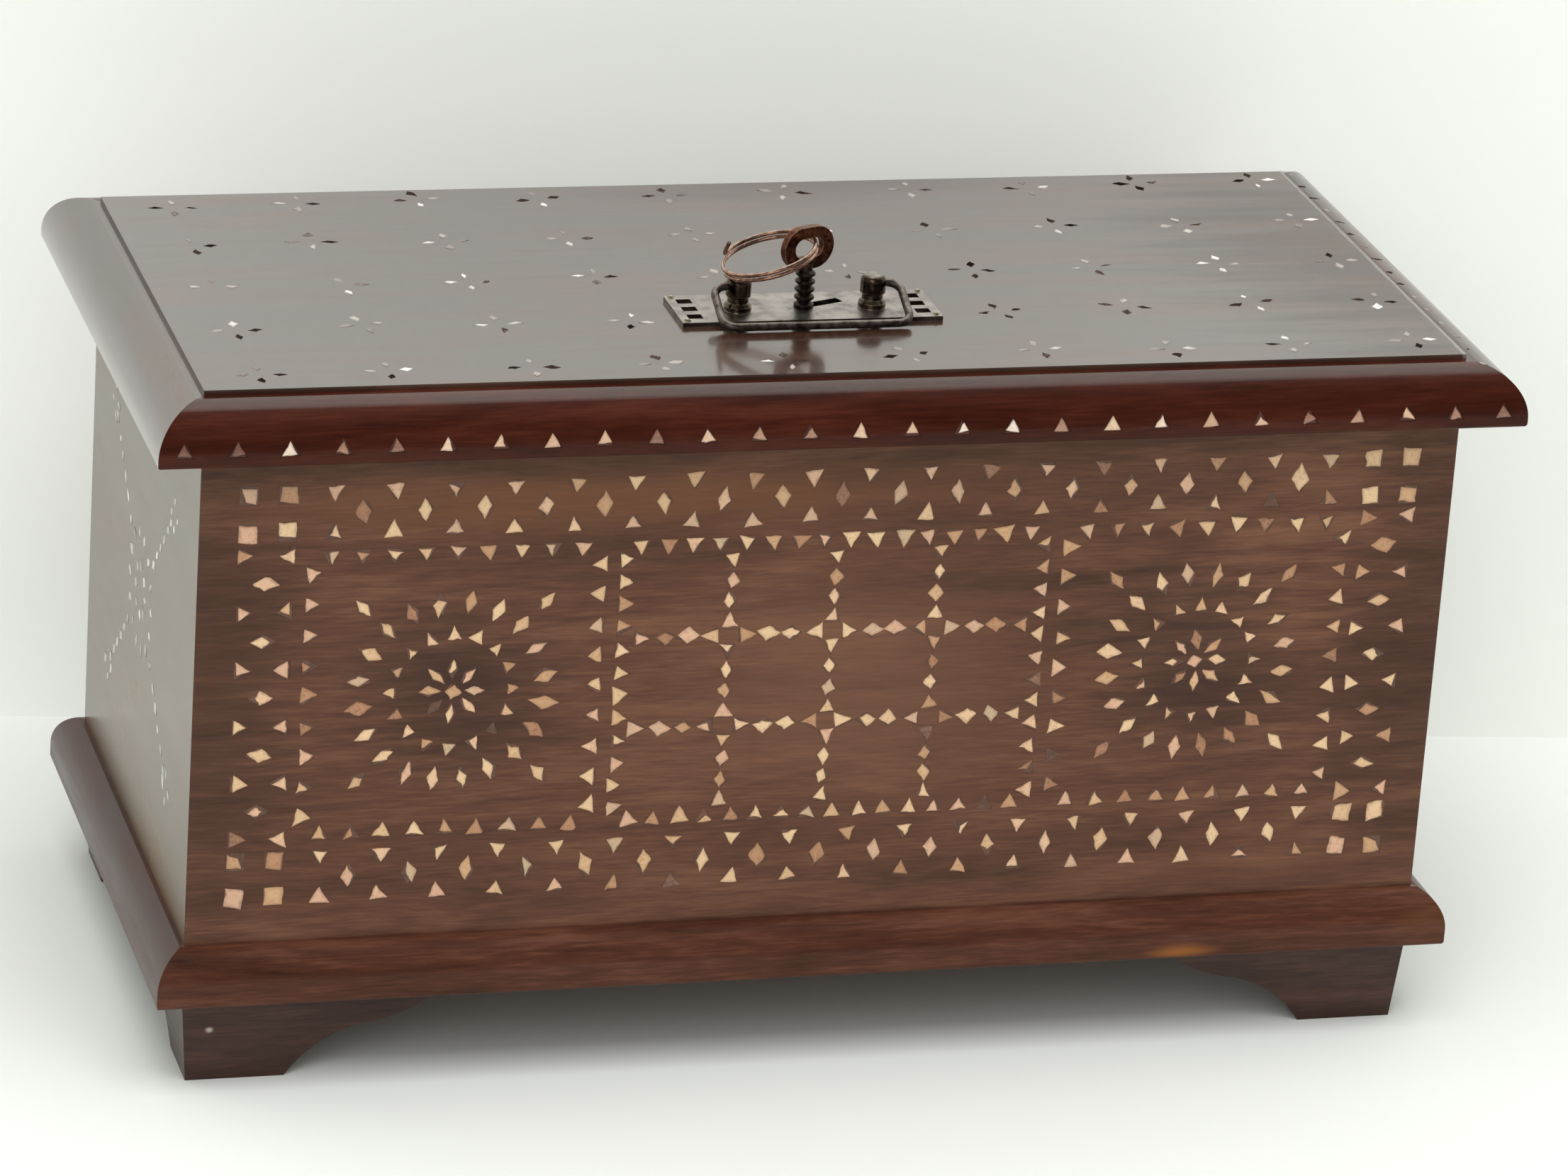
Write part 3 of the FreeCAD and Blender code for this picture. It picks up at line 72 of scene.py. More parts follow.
def linear(hex_colour, alpha=1.0):
    """Turn an sRGB hex value into a linear colour.

    A part up to 0.04045 is divided by 12.92; a larger one gains 0.055, is divided by 1.055 and raised
    to the power of 2.4.
    """
    parts = [int(hex_colour[i:i + 2], 16) / 255 for i in (1, 3, 5)]
    return tuple(p / 12.92 if p <= 0.04045 else ((p + 0.055) / 1.055) ** 2.4 for p in parts) + (alpha,)


def colour_of(setting):
    """A colour setting as the four numbers that a socket takes."""
    return (*setting, 1.0)


class ChestStageSettings(bpy.types.PropertyGroup):
    """Studio: floor, wall, light and camera."""

    floor_colour: FloatVectorProperty(
        name="Floor", description="Paint of the floor", subtype="COLOR", default=linear("#e9ebe7")[:3])
    wall_colour: FloatVectorProperty(
        name="Wall", description="Paint of the wall behind", subtype="COLOR", default=linear("#f5f7f2")[:3])
    key_power: FloatProperty(
        name="Key light", description="Power of the large soft light at the front", unit="POWER",
        default=20.0)
    fill_power: FloatProperty(
        name="Fill light", description="Power of the soft light overhead", unit="POWER", default=56.0)
    ambient: FloatProperty(
        name="Ambient", description="Strength of the light from all round", default=0.55)
    camera_place: FloatVectorProperty(
        name="Camera", description="Where the camera stands", subtype="TRANSLATION", unit="LENGTH",
        default=(-0.6187, -2.1533, 1.0042))
    camera_yaw: FloatProperty(
        name="Yaw", description="Turn of the camera to the right", subtype="ANGLE",
        default=math.radians(16.29))
    camera_pitch: FloatProperty(
        name="Pitch", description="How far the camera looks down", subtype="ANGLE",
        default=math.radians(21.35))
    camera_roll: FloatProperty(
        name="Roll", description="Lean of the camera", subtype="ANGLE", default=math.radians(3.95))
    focal_pixels: FloatProperty(
        name="Focal length", description="Focal length in pixels of the photograph", default=10042.7)


class ChestWoodSettings(bpy.types.PropertyGroup):
    """Woods and their polish."""

    front_dark: FloatVectorProperty(
        name="Front, dark", description="Dark grain of the front", subtype="COLOR",
        default=linear("#3e261b")[:3])
    front_middle: FloatVectorProperty(
        name="Front, middle", description="Ground of the front", subtype="COLOR",
        default=linear("#5c3c2d")[:3])
    front_light: FloatVectorProperty(
        name="Front, light", description="Light grain of the front", subtype="COLOR",
        default=linear("#7a543f")[:3])
    rail_dark: FloatVectorProperty(
        name="Moulding, dark", description="Dark grain of the mouldings", subtype="COLOR",
        default=linear("#220b06")[:3])
    rail_middle: FloatVectorProperty(
        name="Moulding, middle", description="Ground of the mouldings", subtype="COLOR",
        default=linear("#3b160b")[:3])
    rail_light: FloatVectorProperty(
        name="Moulding, light", description="Light grain of the mouldings", subtype="COLOR",
        default=linear("#502516")[:3])


class ChestInlaySettings(bpy.types.PropertyGroup):
    """How the chips were cut and laid."""

    seed: IntProperty(name="Seed", description="Start of the scatter of the chips", default=7)
    corner_scatter: FloatProperty(
        name="Corners", description="Scatter of a chip's corners", unit="LENGTH", default=0.3 * MM)
    turn_scatter: FloatProperty(
        name="Turn", description="Scatter of a chip's turn", subtype="ANGLE", default=math.radians(6.0))
    size_scatter: FloatProperty(
        name="Size", description="Scatter of a chip's size", subtype="FACTOR", default=0.09)
    tilt_scatter: FloatProperty(
        name="Tilt", description="Scatter of a chip's slope", default=0.02)
    broken: FloatProperty(
        name="Broken", description="Share of chips with a lost corner", subtype="FACTOR", default=0.16)
    lost: FloatProperty(
        name="Lost", description="Share of chips that fell out", subtype="FACTOR", default=0.015)
    proud: FloatProperty(
        name="Proud", description="Chip above the wood", unit="LENGTH", default=0.07 * MM)
    depth: FloatProperty(
        name="Depth", description="Chip below the wood", unit="LENGTH", default=0.5 * MM)


class ChestSettings(bpy.types.PropertyGroup):
    """All settings of the chest."""

    stage: PointerProperty(type=ChestStageSettings)
    wood: PointerProperty(type=ChestWoodSettings)
    inlay: PointerProperty(type=ChestInlaySettings)


# Materials


def new_material(name):
    """An empty material with its shader and output; returns the material, its tree and the shader."""
    material = bpy.data.materials.new(name)
    material.use_nodes = True
    tree = material.node_tree
    return material, tree, tree.nodes["Principled BSDF"]


def add_node(tree, kind, inputs=None, stops=(), **settings):
    """Add a node with its settings; inputs take values or other sockets, stops are a ramp's colours."""
    made = tree.nodes.new("ShaderNode" + kind)
    for name, setting in settings.items():
        setattr(made, name, setting)
    for name, given in (inputs or {}).items():
        if isinstance(given, bpy.types.NodeSocket):
            tree.links.new(given, made.inputs[name])
        else:
            made.inputs[name].default_value = given
    for index, (place, colour) in enumerate(stops):
        stop = made.color_ramp.elements[index] if index < 2 else made.color_ramp.elements.new(place)
        stop.position = place
        stop.color = colour
    return made


def grain(tree, along, sizes, detail=3.0, distortion=0.0):
    """Noise stretched along the grain; sizes are its lengths in millimetres along and across the fibres."""
    scale = [1.0 / (sizes[1] * MM)] * 3
    scale[along] = 1.0 / (sizes[0] * MM)
    place = add_node(tree, "TexCoord").outputs["Object"]
    stretched = add_node(tree, "Mapping", {"Vector": place, "Scale": scale}).outputs["Vector"]
    noise = add_node(tree, "TexNoise", {
        "Vector": stretched, "Scale": 1.0, "Detail": detail, "Roughness": 0.6, "Distortion": distortion})
    return noise.outputs["Fac"]


def patch(tree, centre, reach, ragged):
    """Soft-edged patch about a point, 1 in its middle; reach gives its half lengths, all in millimetres.

    Its mask falls with the distance from the point in reaches, to which a share of the ragged noise
    is added.
    """
    fray, inner, outer = 0.9, 0.55, 1.45
    place = add_node(tree, "TexCoord").outputs["Object"]
    scale = [1.0 / (length * MM) for length in reach]
    shift = [-point / length for point, length in zip(centre, reach)]
    local = add_node(tree, "Mapping", {"Vector": place, "Scale": scale, "Location": shift}).outputs["Vector"]
    away = add_node(tree, "VectorMath", {0: local}, operation="LENGTH").outputs["Value"]
    torn = add_node(tree, "Math", {0: ragged, 1: fray, 2: away}, operation="MULTIPLY_ADD").outputs[0]
    return add_node(tree, "MapRange", {
        "Value": torn, "From Min": inner, "From Max": outer, "To Min": 1.0, "To Max": 0.0},
        interpolation_type="SMOOTHSTEP").outputs["Result"]


def upward(tree):
    """How far the surface faces up with the lid closed, from -1 to 1."""
    return add_node(tree, "SeparateXYZ", {0: add_node(tree, "TexCoord").outputs["Normal"]}).outputs["Z"]


def wood(name, shades, along=0, figure=(110, 16), streak=(34, 3.2), gloss=(0.3, 0.46), shine=0.5,
         coat=(0.0, 0.1, 1.5), rubbed=(1.0, 0.92, 1.0), patches=(), dulled=()):
    """Polished hardwood.

    Colour runs through three shades with broad figure, narrower streaks and fine fibres, all
    stretched along the grain, which runs in x where along is 0 and in y where it is 1. figure and
    streak are lengths along and across it. shine is the strength of its mirror, and coat the weight,
    roughness and refraction of its polish. rubbed is the share of that polish left on faces that face
    up less than its second number, all of it being left above the third. patches are (centre, reach,
    colour, share), and dulled are places (centre, reach, share) that lost some of the polish. Lengths
    are in millimetres.
    """
    material, tree, shader = new_material(name)
    broad = grain(tree, along, figure, 3.0, 0.7)
    narrow = grain(tree, along, streak, 3.0, 0.3)
    # Fibres are nearer 0.2 mm, drawn coarser so that they show.
    fine = grain(tree, along, (11, 0.8), 2.0)
    streaked, fibrous = 0.45, 0.5
    both = add_node(tree, "Math", {0: narrow, 1: streaked, 2: broad}, operation="MULTIPLY_ADD").outputs[0]
    total = add_node(tree, "Math", {0: fine, 1: fibrous, 2: both}, operation="MULTIPLY_ADD").outputs[0]
    even = add_node(tree, "Math", {0: total, 1: 1.0 + streaked + fibrous}, operation="DIVIDE").outputs[0]
    colour = add_node(tree, "ValToRGB", {"Fac": even}, (
        (0.32, shades[0]), (0.68, shades[2]), (0.5, shades[1]))).outputs["Color"]
    for centre, reach, paint, share in patches:
        mask = patch(tree, centre, reach, narrow)
        part = add_node(tree, "Math", {0: mask, 1: share}, operation="MULTIPLY").outputs[0]
        colour = add_node(tree, "Mix", {0: part, 6: colour, 7: linear(paint)}, data_type="RGBA").outputs[2]
    spread = {"Value": both, "From Min": 0.5, "From Max": 0.95}
    rough = add_node(tree, "MapRange", {**spread, "To Min": gloss[0], "To Max": gloss[1]})
    relief = add_node(tree, "Bump", {"Height": total, "Strength": 0.02, "Distance": 0.25 * MM})
    tree.links.new(colour, shader.inputs["Base Color"])
    tree.links.new(rough.outputs["Result"], shader.inputs["Roughness"])
    tree.links.new(relief.outputs["Normal"], shader.inputs["Normal"])
    shader.inputs["Specular IOR Level"].default_value = shine
    if not coat[0]:
        return material
    polish = add_node(tree, "MapRange", {
        "Value": upward(tree), "From Min": rubbed[1], "From Max": rubbed[2],
        "To Min": coat[0] * rubbed[0], "To Max": coat[0]}).outputs["Result"]
    uneven = add_node(tree, "MapRange", {**spread, "To Min": 1.03, "To Max": 0.9}).outputs["Result"]
    kept = add_node(tree, "Math", {0: polish, 1: uneven}, operation="MULTIPLY", use_clamp=True).outputs[0]
    for centre, reach, share in dulled:
        mask = patch(tree, centre, reach, narrow)
        left = add_node(tree, "Math", {0: mask, 1: -share, 2: 1.0}, operation="MULTIPLY_ADD").outputs[0]
        kept = add_node(tree, "Math", {0: kept, 1: left}, operation="MULTIPLY").outputs[0]
    tree.links.new(kept, shader.inputs["Coat Weight"])
    shader.inputs["Coat Roughness"].default_value = coat[1]
    shader.inputs["Coat IOR"].default_value = coat[2]
    return material


def worn_metal(name, dark, light, bare, rough=(0.32, 0.55), rub=0.5, grit=1.4, sooty=None):
    """Metal under an old patina: blotches of two shades, rubbed bare on its edges and upward faces.

    A blotch is about grit millimetres wide. sooty gives two heights in metres: below the first the
    metal is blackened, above the second clean.
    """
    material, tree, shader = new_material(name)
    rub_width = 0.5 * MM
    place = add_node(tree, "TexCoord").outputs["Object"]
    blotch = add_node(tree, "TexNoise", {
        "Vector": place, "Scale": 1.0 / (grit * MM), "Detail": 4.0, "Roughness": 0.65}).outputs["Fac"]
    skin = add_node(tree, "ValToRGB", {"Fac": blotch}, ((0.35, linear(dark)), (0.66, linear(light))))
    flat = add_node(tree, "NewGeometry").outputs["Normal"]
    rounded = add_node(tree, "Bevel", {"Radius": rub_width}, samples=4).outputs["Normal"]
    bend = add_node(tree, "VectorMath", {0: flat, 1: rounded}, operation="DOT_PRODUCT").outputs["Value"]
    edge = add_node(tree, "MapRange", {
        "Value": bend, "From Min": 0.99, "From Max": 0.82, "To Min": 0.0, "To Max": 1.0}).outputs["Result"]
    top = add_node(tree, "MapRange", {
        "Value": upward(tree), "From Min": 0.5, "From Max": 1.0,
        "To Min": 0.0, "To Max": rub}).outputs["Result"]
    both = add_node(tree, "Math", {0: edge, 1: top}, operation="MAXIMUM").outputs[0]
    worn = add_node(tree, "Math", {0: both, 1: blotch}, operation="MULTIPLY").outputs[0]
    share = add_node(tree, "MapRange", {
        "Value": worn, "From Min": 0.12, "From Max": 0.5, "To Min": 0.0, "To Max": 1.0}).outputs["Result"]
    colour = add_node(tree, "Mix", {
        0: share, 6: skin.outputs["Color"], 7: linear(bare)}, data_type="RGBA").outputs[2]
    if sooty:
        height = add_node(tree, "SeparateXYZ", {0: place}).outputs["Z"]
        clean = add_node(tree, "MapRange", {
            "Value": height, "From Min": sooty[0], "From Max": sooty[1]}).outputs["Result"]
        soot = linear("#40362f")
        colour = add_node(tree, "Mix", {0: clean, 6: soot, 7: colour}, data_type="RGBA").outputs[2]
    sheen = add_node(tree, "MapRange", {
        "Value": blotch, "From Min": 0.3, "From Max": 0.7, "To Min": rough[0], "To Max": rough[1]})
    relief = add_node(tree, "Bump", {"Height": blotch, "Strength": 0.2, "Distance": 0.08 * MM})
    tree.links.new(colour, shader.inputs["Base Color"])
    tree.links.new(sheen.outputs["Result"], shader.inputs["Roughness"])
    tree.links.new(relief.outputs["Normal"], shader.inputs["Normal"])
    shader.inputs["Metallic"].default_value = 1.0
    return material


def shell(name, stops, rim_grime_and_shade, rough=(0.2, 0.45), empty=None):
    """Shell or bone chips: each has its own shade, fine growth lines and a darker ragged rim,
    partly grime and partly painted shade where the chip rounds off.

    Chips with a shade below empty are dull, like seats that lost theirs.
    """
    material, tree, shader = new_material(name)
    own = add_node(tree, "Attribute", attribute_name="shade").outputs["Fac"]
    place = add_node(tree, "TexCoord").outputs["Object"]
    # Growth lines are finer than this, drawn coarser so that they show.
    spacing, contrast = 1.1 * MM, 0.36
    lines = add_node(tree, "TexNoise", {
        "Vector": place, "Scale": 1.0 / spacing, "Detail": 3.0, "Roughness": 0.6}).outputs["Fac"]
    shade = add_node(tree, "Math", {0: lines, 1: contrast, 2: own}, operation="MULTIPLY_ADD").outputs[0]
    moved = add_node(tree, "Math", {0: shade, 1: contrast / 2}, operation="SUBTRACT").outputs[0]
    face = add_node(tree, "ValToRGB", {"Fac": moved}, stops).outputs["Color"]
    # The darker rim is partly grime and partly painted shade where the chip's cushion rounds off.
    rim = add_node(tree, "Attribute", attribute_name="rim").outputs["Fac"]
    ragged = add_node(tree, "Math", {0: lines, 1: 0.9, 2: rim}, operation="MULTIPLY_ADD").outputs[0]
    edge = add_node(tree, "MapRange", {
        "Value": ragged, "From Min": 0.5, "From Max": 1.3, "To Min": 0.0, "To Max": 0.85}).outputs["Result"]
    colour = add_node(tree, "Mix", {0: edge, 6: face, 7: linear(rim_grime_and_shade)}, data_type="RGBA").outputs[2]
    worn = add_node(tree, "MapRange", {
        "Value": lines, "From Min": 0.3, "From Max": 0.7, "To Min": rough[0], "To Max": rough[1]})
    relief = add_node(tree, "Bump", {"Height": lines, "Strength": 0.25, "Distance": 0.08 * MM})
    tree.links.new(colour, shader.inputs["Base Color"])
    tree.links.new(worn.outputs["Result"], shader.inputs["Roughness"])
    tree.links.new(relief.outputs["Normal"], shader.inputs["Normal"])
    for socket, full in (("Specular IOR Level", 0.5), ("Coat Weight", 0.25)):
        shader.inputs[socket].default_value = full
        if empty is not None:
            kept = add_node(tree, "MapRange", {
                "Value": own, "From Min": empty, "From Max": empty + 0.1, "To Min": 0.0, "To Max": full})
            tree.links.new(kept.outputs["Result"], shader.inputs[socket])
    shader.inputs["Coat Roughness"].default_value = 0.12
    return material


def finish_nodes(material, *names):
    """Give CAD nodes a material."""
    for name in names:
        frame["nodes"][name].data.materials.clear()
        frame["nodes"][name].data.materials.append(material)


# Shapes


def new_piece(name, points, faces, material, body):
    """A mesh object that rides on a body."""
    mesh = bpy.data.meshes.new(name)
    mesh.from_pydata(points.tolist(), [], faces)
    mesh.update()
    mesh.materials.append(material)
    piece = bpy.data.objects.new(name, mesh)
    bpy.context.scene.collection.objects.link(piece)
    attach(piece, body)
    return piece


def shells(rings, first, last, start=0):
    """Closed shells from rings of points, as points and faces.

    rings has the shape (shells, rings, points, 3). Neighbouring rings are joined by four-sided faces,
    and a fan closes each end on its pole. start is the number of the first point.
    """
    count, levels, around, _ = rings.shape
    points = np.concatenate([rings.reshape(count, -1, 3), first[:, None], last[:, None]], axis=1)
    level = np.arange(levels)[:, None] * around
    step = np.arange(around)[None]
    ahead = (step + 1) % around
    upper, lower = level[:-1], level[1:]
    sides = np.stack([upper + step, lower + step, lower + ahead, upper + ahead], axis=-1).reshape(-1, 4)
    total = levels * around
    cap = np.stack([np.full(around, total), step[0], ahead[0]], axis=-1)
    foot = np.stack([np.full(around, total + 1), level[-1] + ahead[0], level[-1] + step[0]], axis=-1)
    base = (start + np.arange(count) * (total + 2))[:, None, None]
    faces = [(base + part[None]).reshape(-1, part.shape[1]).tolist() for part in (sides, cap, foot)]
    return points.reshape(-1, 3), faces[0] + faces[1] + faces[2]


def outer_faces(name, axis, sign):
    """Corners of a node's triangles that lie in its outermost plane along an axis, as (n, 3, 3)."""
    mesh = frame["nodes"][name].data
    points = np.empty(len(mesh.vertices) * 3)
    mesh.vertices.foreach_get("co", points)
    corners = np.empty(len(mesh.loops), dtype=int)
    mesh.loops.foreach_get("vertex_index", corners)
    triangles = points.reshape(-1, 3)[corners].reshape(-1, 3, 3)
    level = triangles[..., axis] * sign
    near = 0.01 * MM
    return triangles[(level > level.max() - near).all(axis=1)]


def plane_axes(outward):
    """Two directions in the plane across a normal, and the normal.

    The second lies a quarter turn to the left of the first as seen from outside.
    """
    normal = np.array(outward, dtype=float)
    aside = np.cross((0.0, 0.0, 1.0) if abs(normal[2]) < 0.5 else (0.0, 1.0, 0.0), normal)
    aside /= np.linalg.norm(aside)
    return aside, np.cross(normal, aside), normal


def ordered(corners, middle, axes):
    """Corners in the plane about their middle, turning to the left, each kept once, as (n, k, 2)."""
    flat = np.stack([(corners - middle) @ axes[0], (corners - middle) @ axes[1]], axis=-1)
    # The count begins at an angle where no corner lies, so that doubles of a corner stay together.
    begin, apart = 0.137, 1e-3
    angle = (np.arctan2(flat[..., 1], flat[..., 0]) + begin) % (2 * np.pi)
    order = np.argsort(angle, axis=1)
    flat = np.take_along_axis(flat, order[..., None], axis=1)
    angle = np.take_along_axis(angle, order, axis=1)
    fresh = np.diff(angle, axis=1, prepend=-1.0) > apart
    return flat[fresh].reshape(len(flat), -1, 2)


def chip_outlines(name, sides, outward, behind=False):
    """Middle and corners of each chip of a node, read from the flat face that shows or the one behind."""
    axis = int(np.argmax(np.abs(outward)))
    faces = outer_faces(name, axis, -outward[axis] if behind else outward[axis])
    corners = faces.reshape(-1, 3 * (sides - 2), 3)
    middle = corners.mean(axis=1, keepdims=True)
    axes = plane_axes(outward)
    return middle[:, 0], ordered(corners, middle, axes), axes


def lay_chips(middle, flat, axes, rng, settings, parts=3):
    """Cut and lay chips by hand: rings and poles of low cushions, one for each outline.

    A chip's outline is scattered at its corners, turned and sized, and its edges are divided and
    made slightly uneven. Rings of it rise from below the wood to a rounded edge and a low crown, and
    the whole slopes by its height being a share of the distance from its middle.
    """
    smaller, left, wavy, astray = -0.05, (0.3, 0.7), 0.45, 0.8
    count, sides, _ = flat.shape
    turn = rng.normal(0.0, settings.turn_scatter, count)
    spin = np.array([[np.cos(turn), -np.sin(turn)], [np.sin(turn), np.cos(turn)]]).transpose(2, 0, 1)
    size = 1.0 + rng.normal(smaller, settings.size_scatter, (count, 1, 1))
    worn = np.ones((count, sides, 1))
    broken = np.flatnonzero(rng.random(count) < settings.broken)
    worn[broken, rng.integers(0, sides, len(broken))] = rng.uniform(*left, (len(broken), 1))
    cut = (flat * size * worn + rng.normal(0.0, settings.corner_scatter, flat.shape)) @ spin
    share = np.arange(parts)[None, None, :, None] / parts
    edge = cut[:, :, None] * (1 - share) + np.roll(cut, -1, axis=1)[:, :, None] * share
    rim = edge.reshape(count, sides * parts, 2)
    rim = rim + rng.normal(0.0, settings.corner_scatter * wavy, rim.shape)
    shift = rng.normal(0.0, settings.corner_scatter * astray, (count, 1, 2))
    slope = rng.normal(0.0, settings.tilt_scatter, (count, 1, 2))
    # Each ring's size and its height as a share of what stands proud; the last lies below the wood.
    levels = ((0.5, 1.35), (0.9, 1.0), (1.0, 0.25), (1.0, None))
    crown = 1.4
    rings = []
    for scale, rise in levels:
        ring = rim * scale
        lift = np.full((count, sides * parts, 1), -settings.depth)
        if rise is not None:
            lift = settings.proud * rise + (ring * slope).sum(axis=2, keepdims=True) * scale
        moved = ring + shift
        placed = middle[:, None] + moved[..., :1] * axes[0] + moved[..., 1:] * axes[1]
        rings.append(placed + lift * axes[2])
    centre = middle + shift[:, 0, :1] * axes[0] + shift[:, 0, 1:] * axes[1]
    top = centre + axes[2] * (settings.proud * crown)
    foot = centre - axes[2] * settings.depth
    kept = rng.random(count) >= settings.lost
    return [part[kept] for part in (np.stack(rings, axis=1), top, foot)]


def chip_piece(name, groups, material, body, shade):
    """One piece from groups of laid chips.

    Each chip has its own shade, drawn by the given function, and a second attribute that runs from
    0 in its middle to 1 at its rim.
    """
    points, faces, shades, rims = [], [], [], []
    start = 0
    for rings, top, foot in groups:
        count, levels, around, _ = rings.shape
        made, sides = shells(rings, top, foot, start)
        points.append(made)
        faces += sides
        shades.append(np.repeat(shade(count), len(made) // count))
        across = np.append(np.repeat(np.linspace(0.0, 1.0, levels), around), (0.0, 1.0))
        rims.append(np.tile(across, count))
        start += len(made)
    piece = new_piece(name, np.concatenate(points), faces, material, body)
    for kind, values in (("shade", shades), ("rim", rims)):
        layer = piece.data.attributes.new(kind, "FLOAT", "POINT")
        layer.data.foreach_set("value", np.concatenate(values).astype(np.float32))
    return piece


def bed(middle, flat, axes):
    """Filler in each chip's seat: the chip's outline from its floor to just under the face of the wood."""
    top, floor = 0.03 * MM, 1.1 * MM
    rings = [
        middle[:, None] + flat[..., :1] * axes[0] + flat[..., 1:] * axes[1] - axes[2] * depth
        for depth in (top, floor)]
    return np.stack(rings, axis=1), middle - axes[2] * top, middle - axes[2] * floor


def filler_piece(name, beds, shades, body):
    """One piece from all the beds, in mastic that looks dull and lumpy, in two shades."""
    material, tree, shader = new_material(f"Dark mastic, {body}")
    place = add_node(tree, "TexCoord").outputs["Object"]
    lump = 2.0 * MM
    lumps = add_node(tree, "TexNoise", {
        "Vector": place, "Scale": 1.0 / lump, "Detail": 3.0}).outputs["Fac"]
    tone = add_node(tree, "ValToRGB", {"Fac": lumps}, ((0.3, linear(shades[0])), (0.7, linear(shades[1]))))
    tree.links.new(tone.outputs["Color"], shader.inputs["Base Color"])
    shader.inputs["Roughness"].default_value = 0.5
    chip_piece(name, beds, material, body, np.zeros)


def lozenge_flat(along, length, width):
    """Corners of lozenges in the plane, as (n, 4, 2).

    Two lie half the length either way along a unit direction, and two half the width either way
    beside it.
    """
    beside = np.stack([-along[:, 1], along[:, 0]], axis=1)
    ends, flanks = along * length / 2, beside * width / 2
    return np.stack([ends, flanks, -ends, -flanks], axis=1)


# Operators


class CHEST_OT_stage(bpy.types.Operator):
    """Floor, wall, soft light and the camera at the photograph's angle"""

    bl_idname = "chest.stage"
    bl_label = "Stage"

    def execute(self, context):
        settings = context.scene.chest.stage
        ground = ((-4, -6, 0), (4, -6, 0), (4, 5, 0), (-4, 5, 0))
        floor = self.sheet("studio_floor", ground, settings.floor_colour)
        # Two points of the line where the wall meets the floor, which runs on past both.
        start = Vector((-0.2139, 0.2167, 0.0))
        stop = Vector((0.3574, 0.1351, 0.0))
        beyond = (stop - start).normalized() * 3.5
        left, right = start - beyond, stop + beyond
        rise = Vector((0, 0, 2.4))
        wall = self.sheet("studio_wall", (left, right, right + rise, left + rise), settings.wall_colour, True)
        self.world(context.scene, settings)
        self.lamp("key_light", place=(-1.3, -2.6, 1.9), size=1.8, power=settings.key_power)
        fill = self.lamp("fill_light", place=(-0.05, -0.7, 2.6), size=2.4, power=settings.fill_power)
        fill.visible_glossy = False
        self.camera(context.scene, settings)
        context.scene.view_settings.view_transform = "Standard"
        return {"FINISHED"}

    def sheet(self, name, corners, colour, one_sided=False):
        """A flat painted sheet; a one-sided one can be looked through from behind."""
        material, tree, shader = new_material("Painted plaster, matt" if one_sided else "Painted board, matt")
        shader.inputs["Base Color"].default_value = colour_of(colour)
        shader.inputs["Roughness"].default_value = 0.9
        shader.inputs["Specular IOR Level"].default_value = 0.1
        if one_sided:
            shader.inputs["Emission Color"].default_value = colour_of(colour)
            shader.inputs["Emission Strength"].default_value = 0.06
            behind = add_node(tree, "NewGeometry").outputs["Backfacing"]
            clear = add_node(tree, "BsdfTransparent").outputs["BSDF"]
            both = add_node(tree, "MixShader", {0: behind, 1: shader.outputs["BSDF"], 2: clear})
            tree.links.new(both.outputs["Shader"], tree.nodes["Material Output"].inputs["Surface"])
        mesh = bpy.data.meshes.new(name)
        mesh.from_pydata([tuple(corner) for corner in corners], [], [(0, 1, 2, 3)])
        mesh.materials.append(material)
        made = bpy.data.objects.new(name, mesh)
        bpy.context.scene.collection.objects.link(made)
        return made

    def world(self, scene, settings):
        """Pale all round to the camera, dimmer as light, and dim towards the viewer in reflections."""
        scene.world = bpy.data.worlds.new("Studio")
        scene.world.use_nodes = True
        tree = scene.world.node_tree
        path = add_node(tree, "LightPath").outputs
        direction = add_node(tree, "TexCoord").outputs["Generated"]
        ahead = add_node(tree, "SeparateXYZ", {0: direction}).outputs["Y"]
        front, behind, backdrop = 0.12, 0.8, 0.76
        mirrored = add_node(tree, "MapRange", {
            "Value": ahead, "From Min": -0.5, "From Max": 0.3,
            "To Min": front, "To Max": behind}).outputs["Result"]
        lit = add_node(tree, "Mix", {0: path["Is Glossy Ray"], 2: settings.ambient, 3: mirrored}).outputs[0]
        seen = add_node(tree, "Mix", {0: path["Is Camera Ray"], 2: lit, 3: backdrop}).outputs[0]
        ground = tree.nodes["Background"]
        ground.inputs["Color"].default_value = linear("#fbfdfb")
        tree.links.new(seen, ground.inputs["Strength"])

    def lamp(self, name, place, size, power):
        """A square soft light that points at the chest."""
        light = bpy.data.lights.new(name, "AREA")
        light.size = size
        light.energy = power
        made = bpy.data.objects.new(name, light)
        made.location = place
        middle = Vector((0, 0, 0.12))
        made.rotation_euler = (middle - made.location).to_track_quat("-Z", "Y").to_euler()
        bpy.context.scene.collection.objects.link(made)
        return made

    def camera(self, scene, settings):
        """Camera from its place, yaw, pitch and roll.

        Yaw turns the view from +Y to the right, pitch tips it down, and roll turns right and up about it.
        """
        yaw, pitch, roll = settings.camera_yaw, settings.camera_pitch, settings.camera_roll
        forward = Vector((
            math.sin(yaw) * math.cos(pitch), math.cos(yaw) * math.cos(pitch), -math.sin(pitch)))
        level = Vector((math.cos(yaw), -math.sin(yaw), 0.0))
        upright = level.cross(forward)
        right = level * math.cos(roll) + upright * math.sin(roll)
        up = upright * math.cos(roll) - level * math.sin(roll)
        data = bpy.data.cameras.new("photo_camera")
        data.sensor_width = 36.0
        data.lens = data.sensor_width * settings.focal_pixels / IMAGE_WIDTH
        made = bpy.data.objects.new("photo_camera", data)
        turned = Matrix((right, up, -forward)).transposed().to_4x4()
        made.matrix_world = Matrix.Translation(settings.camera_place) @ turned
        scene.collection.objects.link(made)
        scene.camera = made


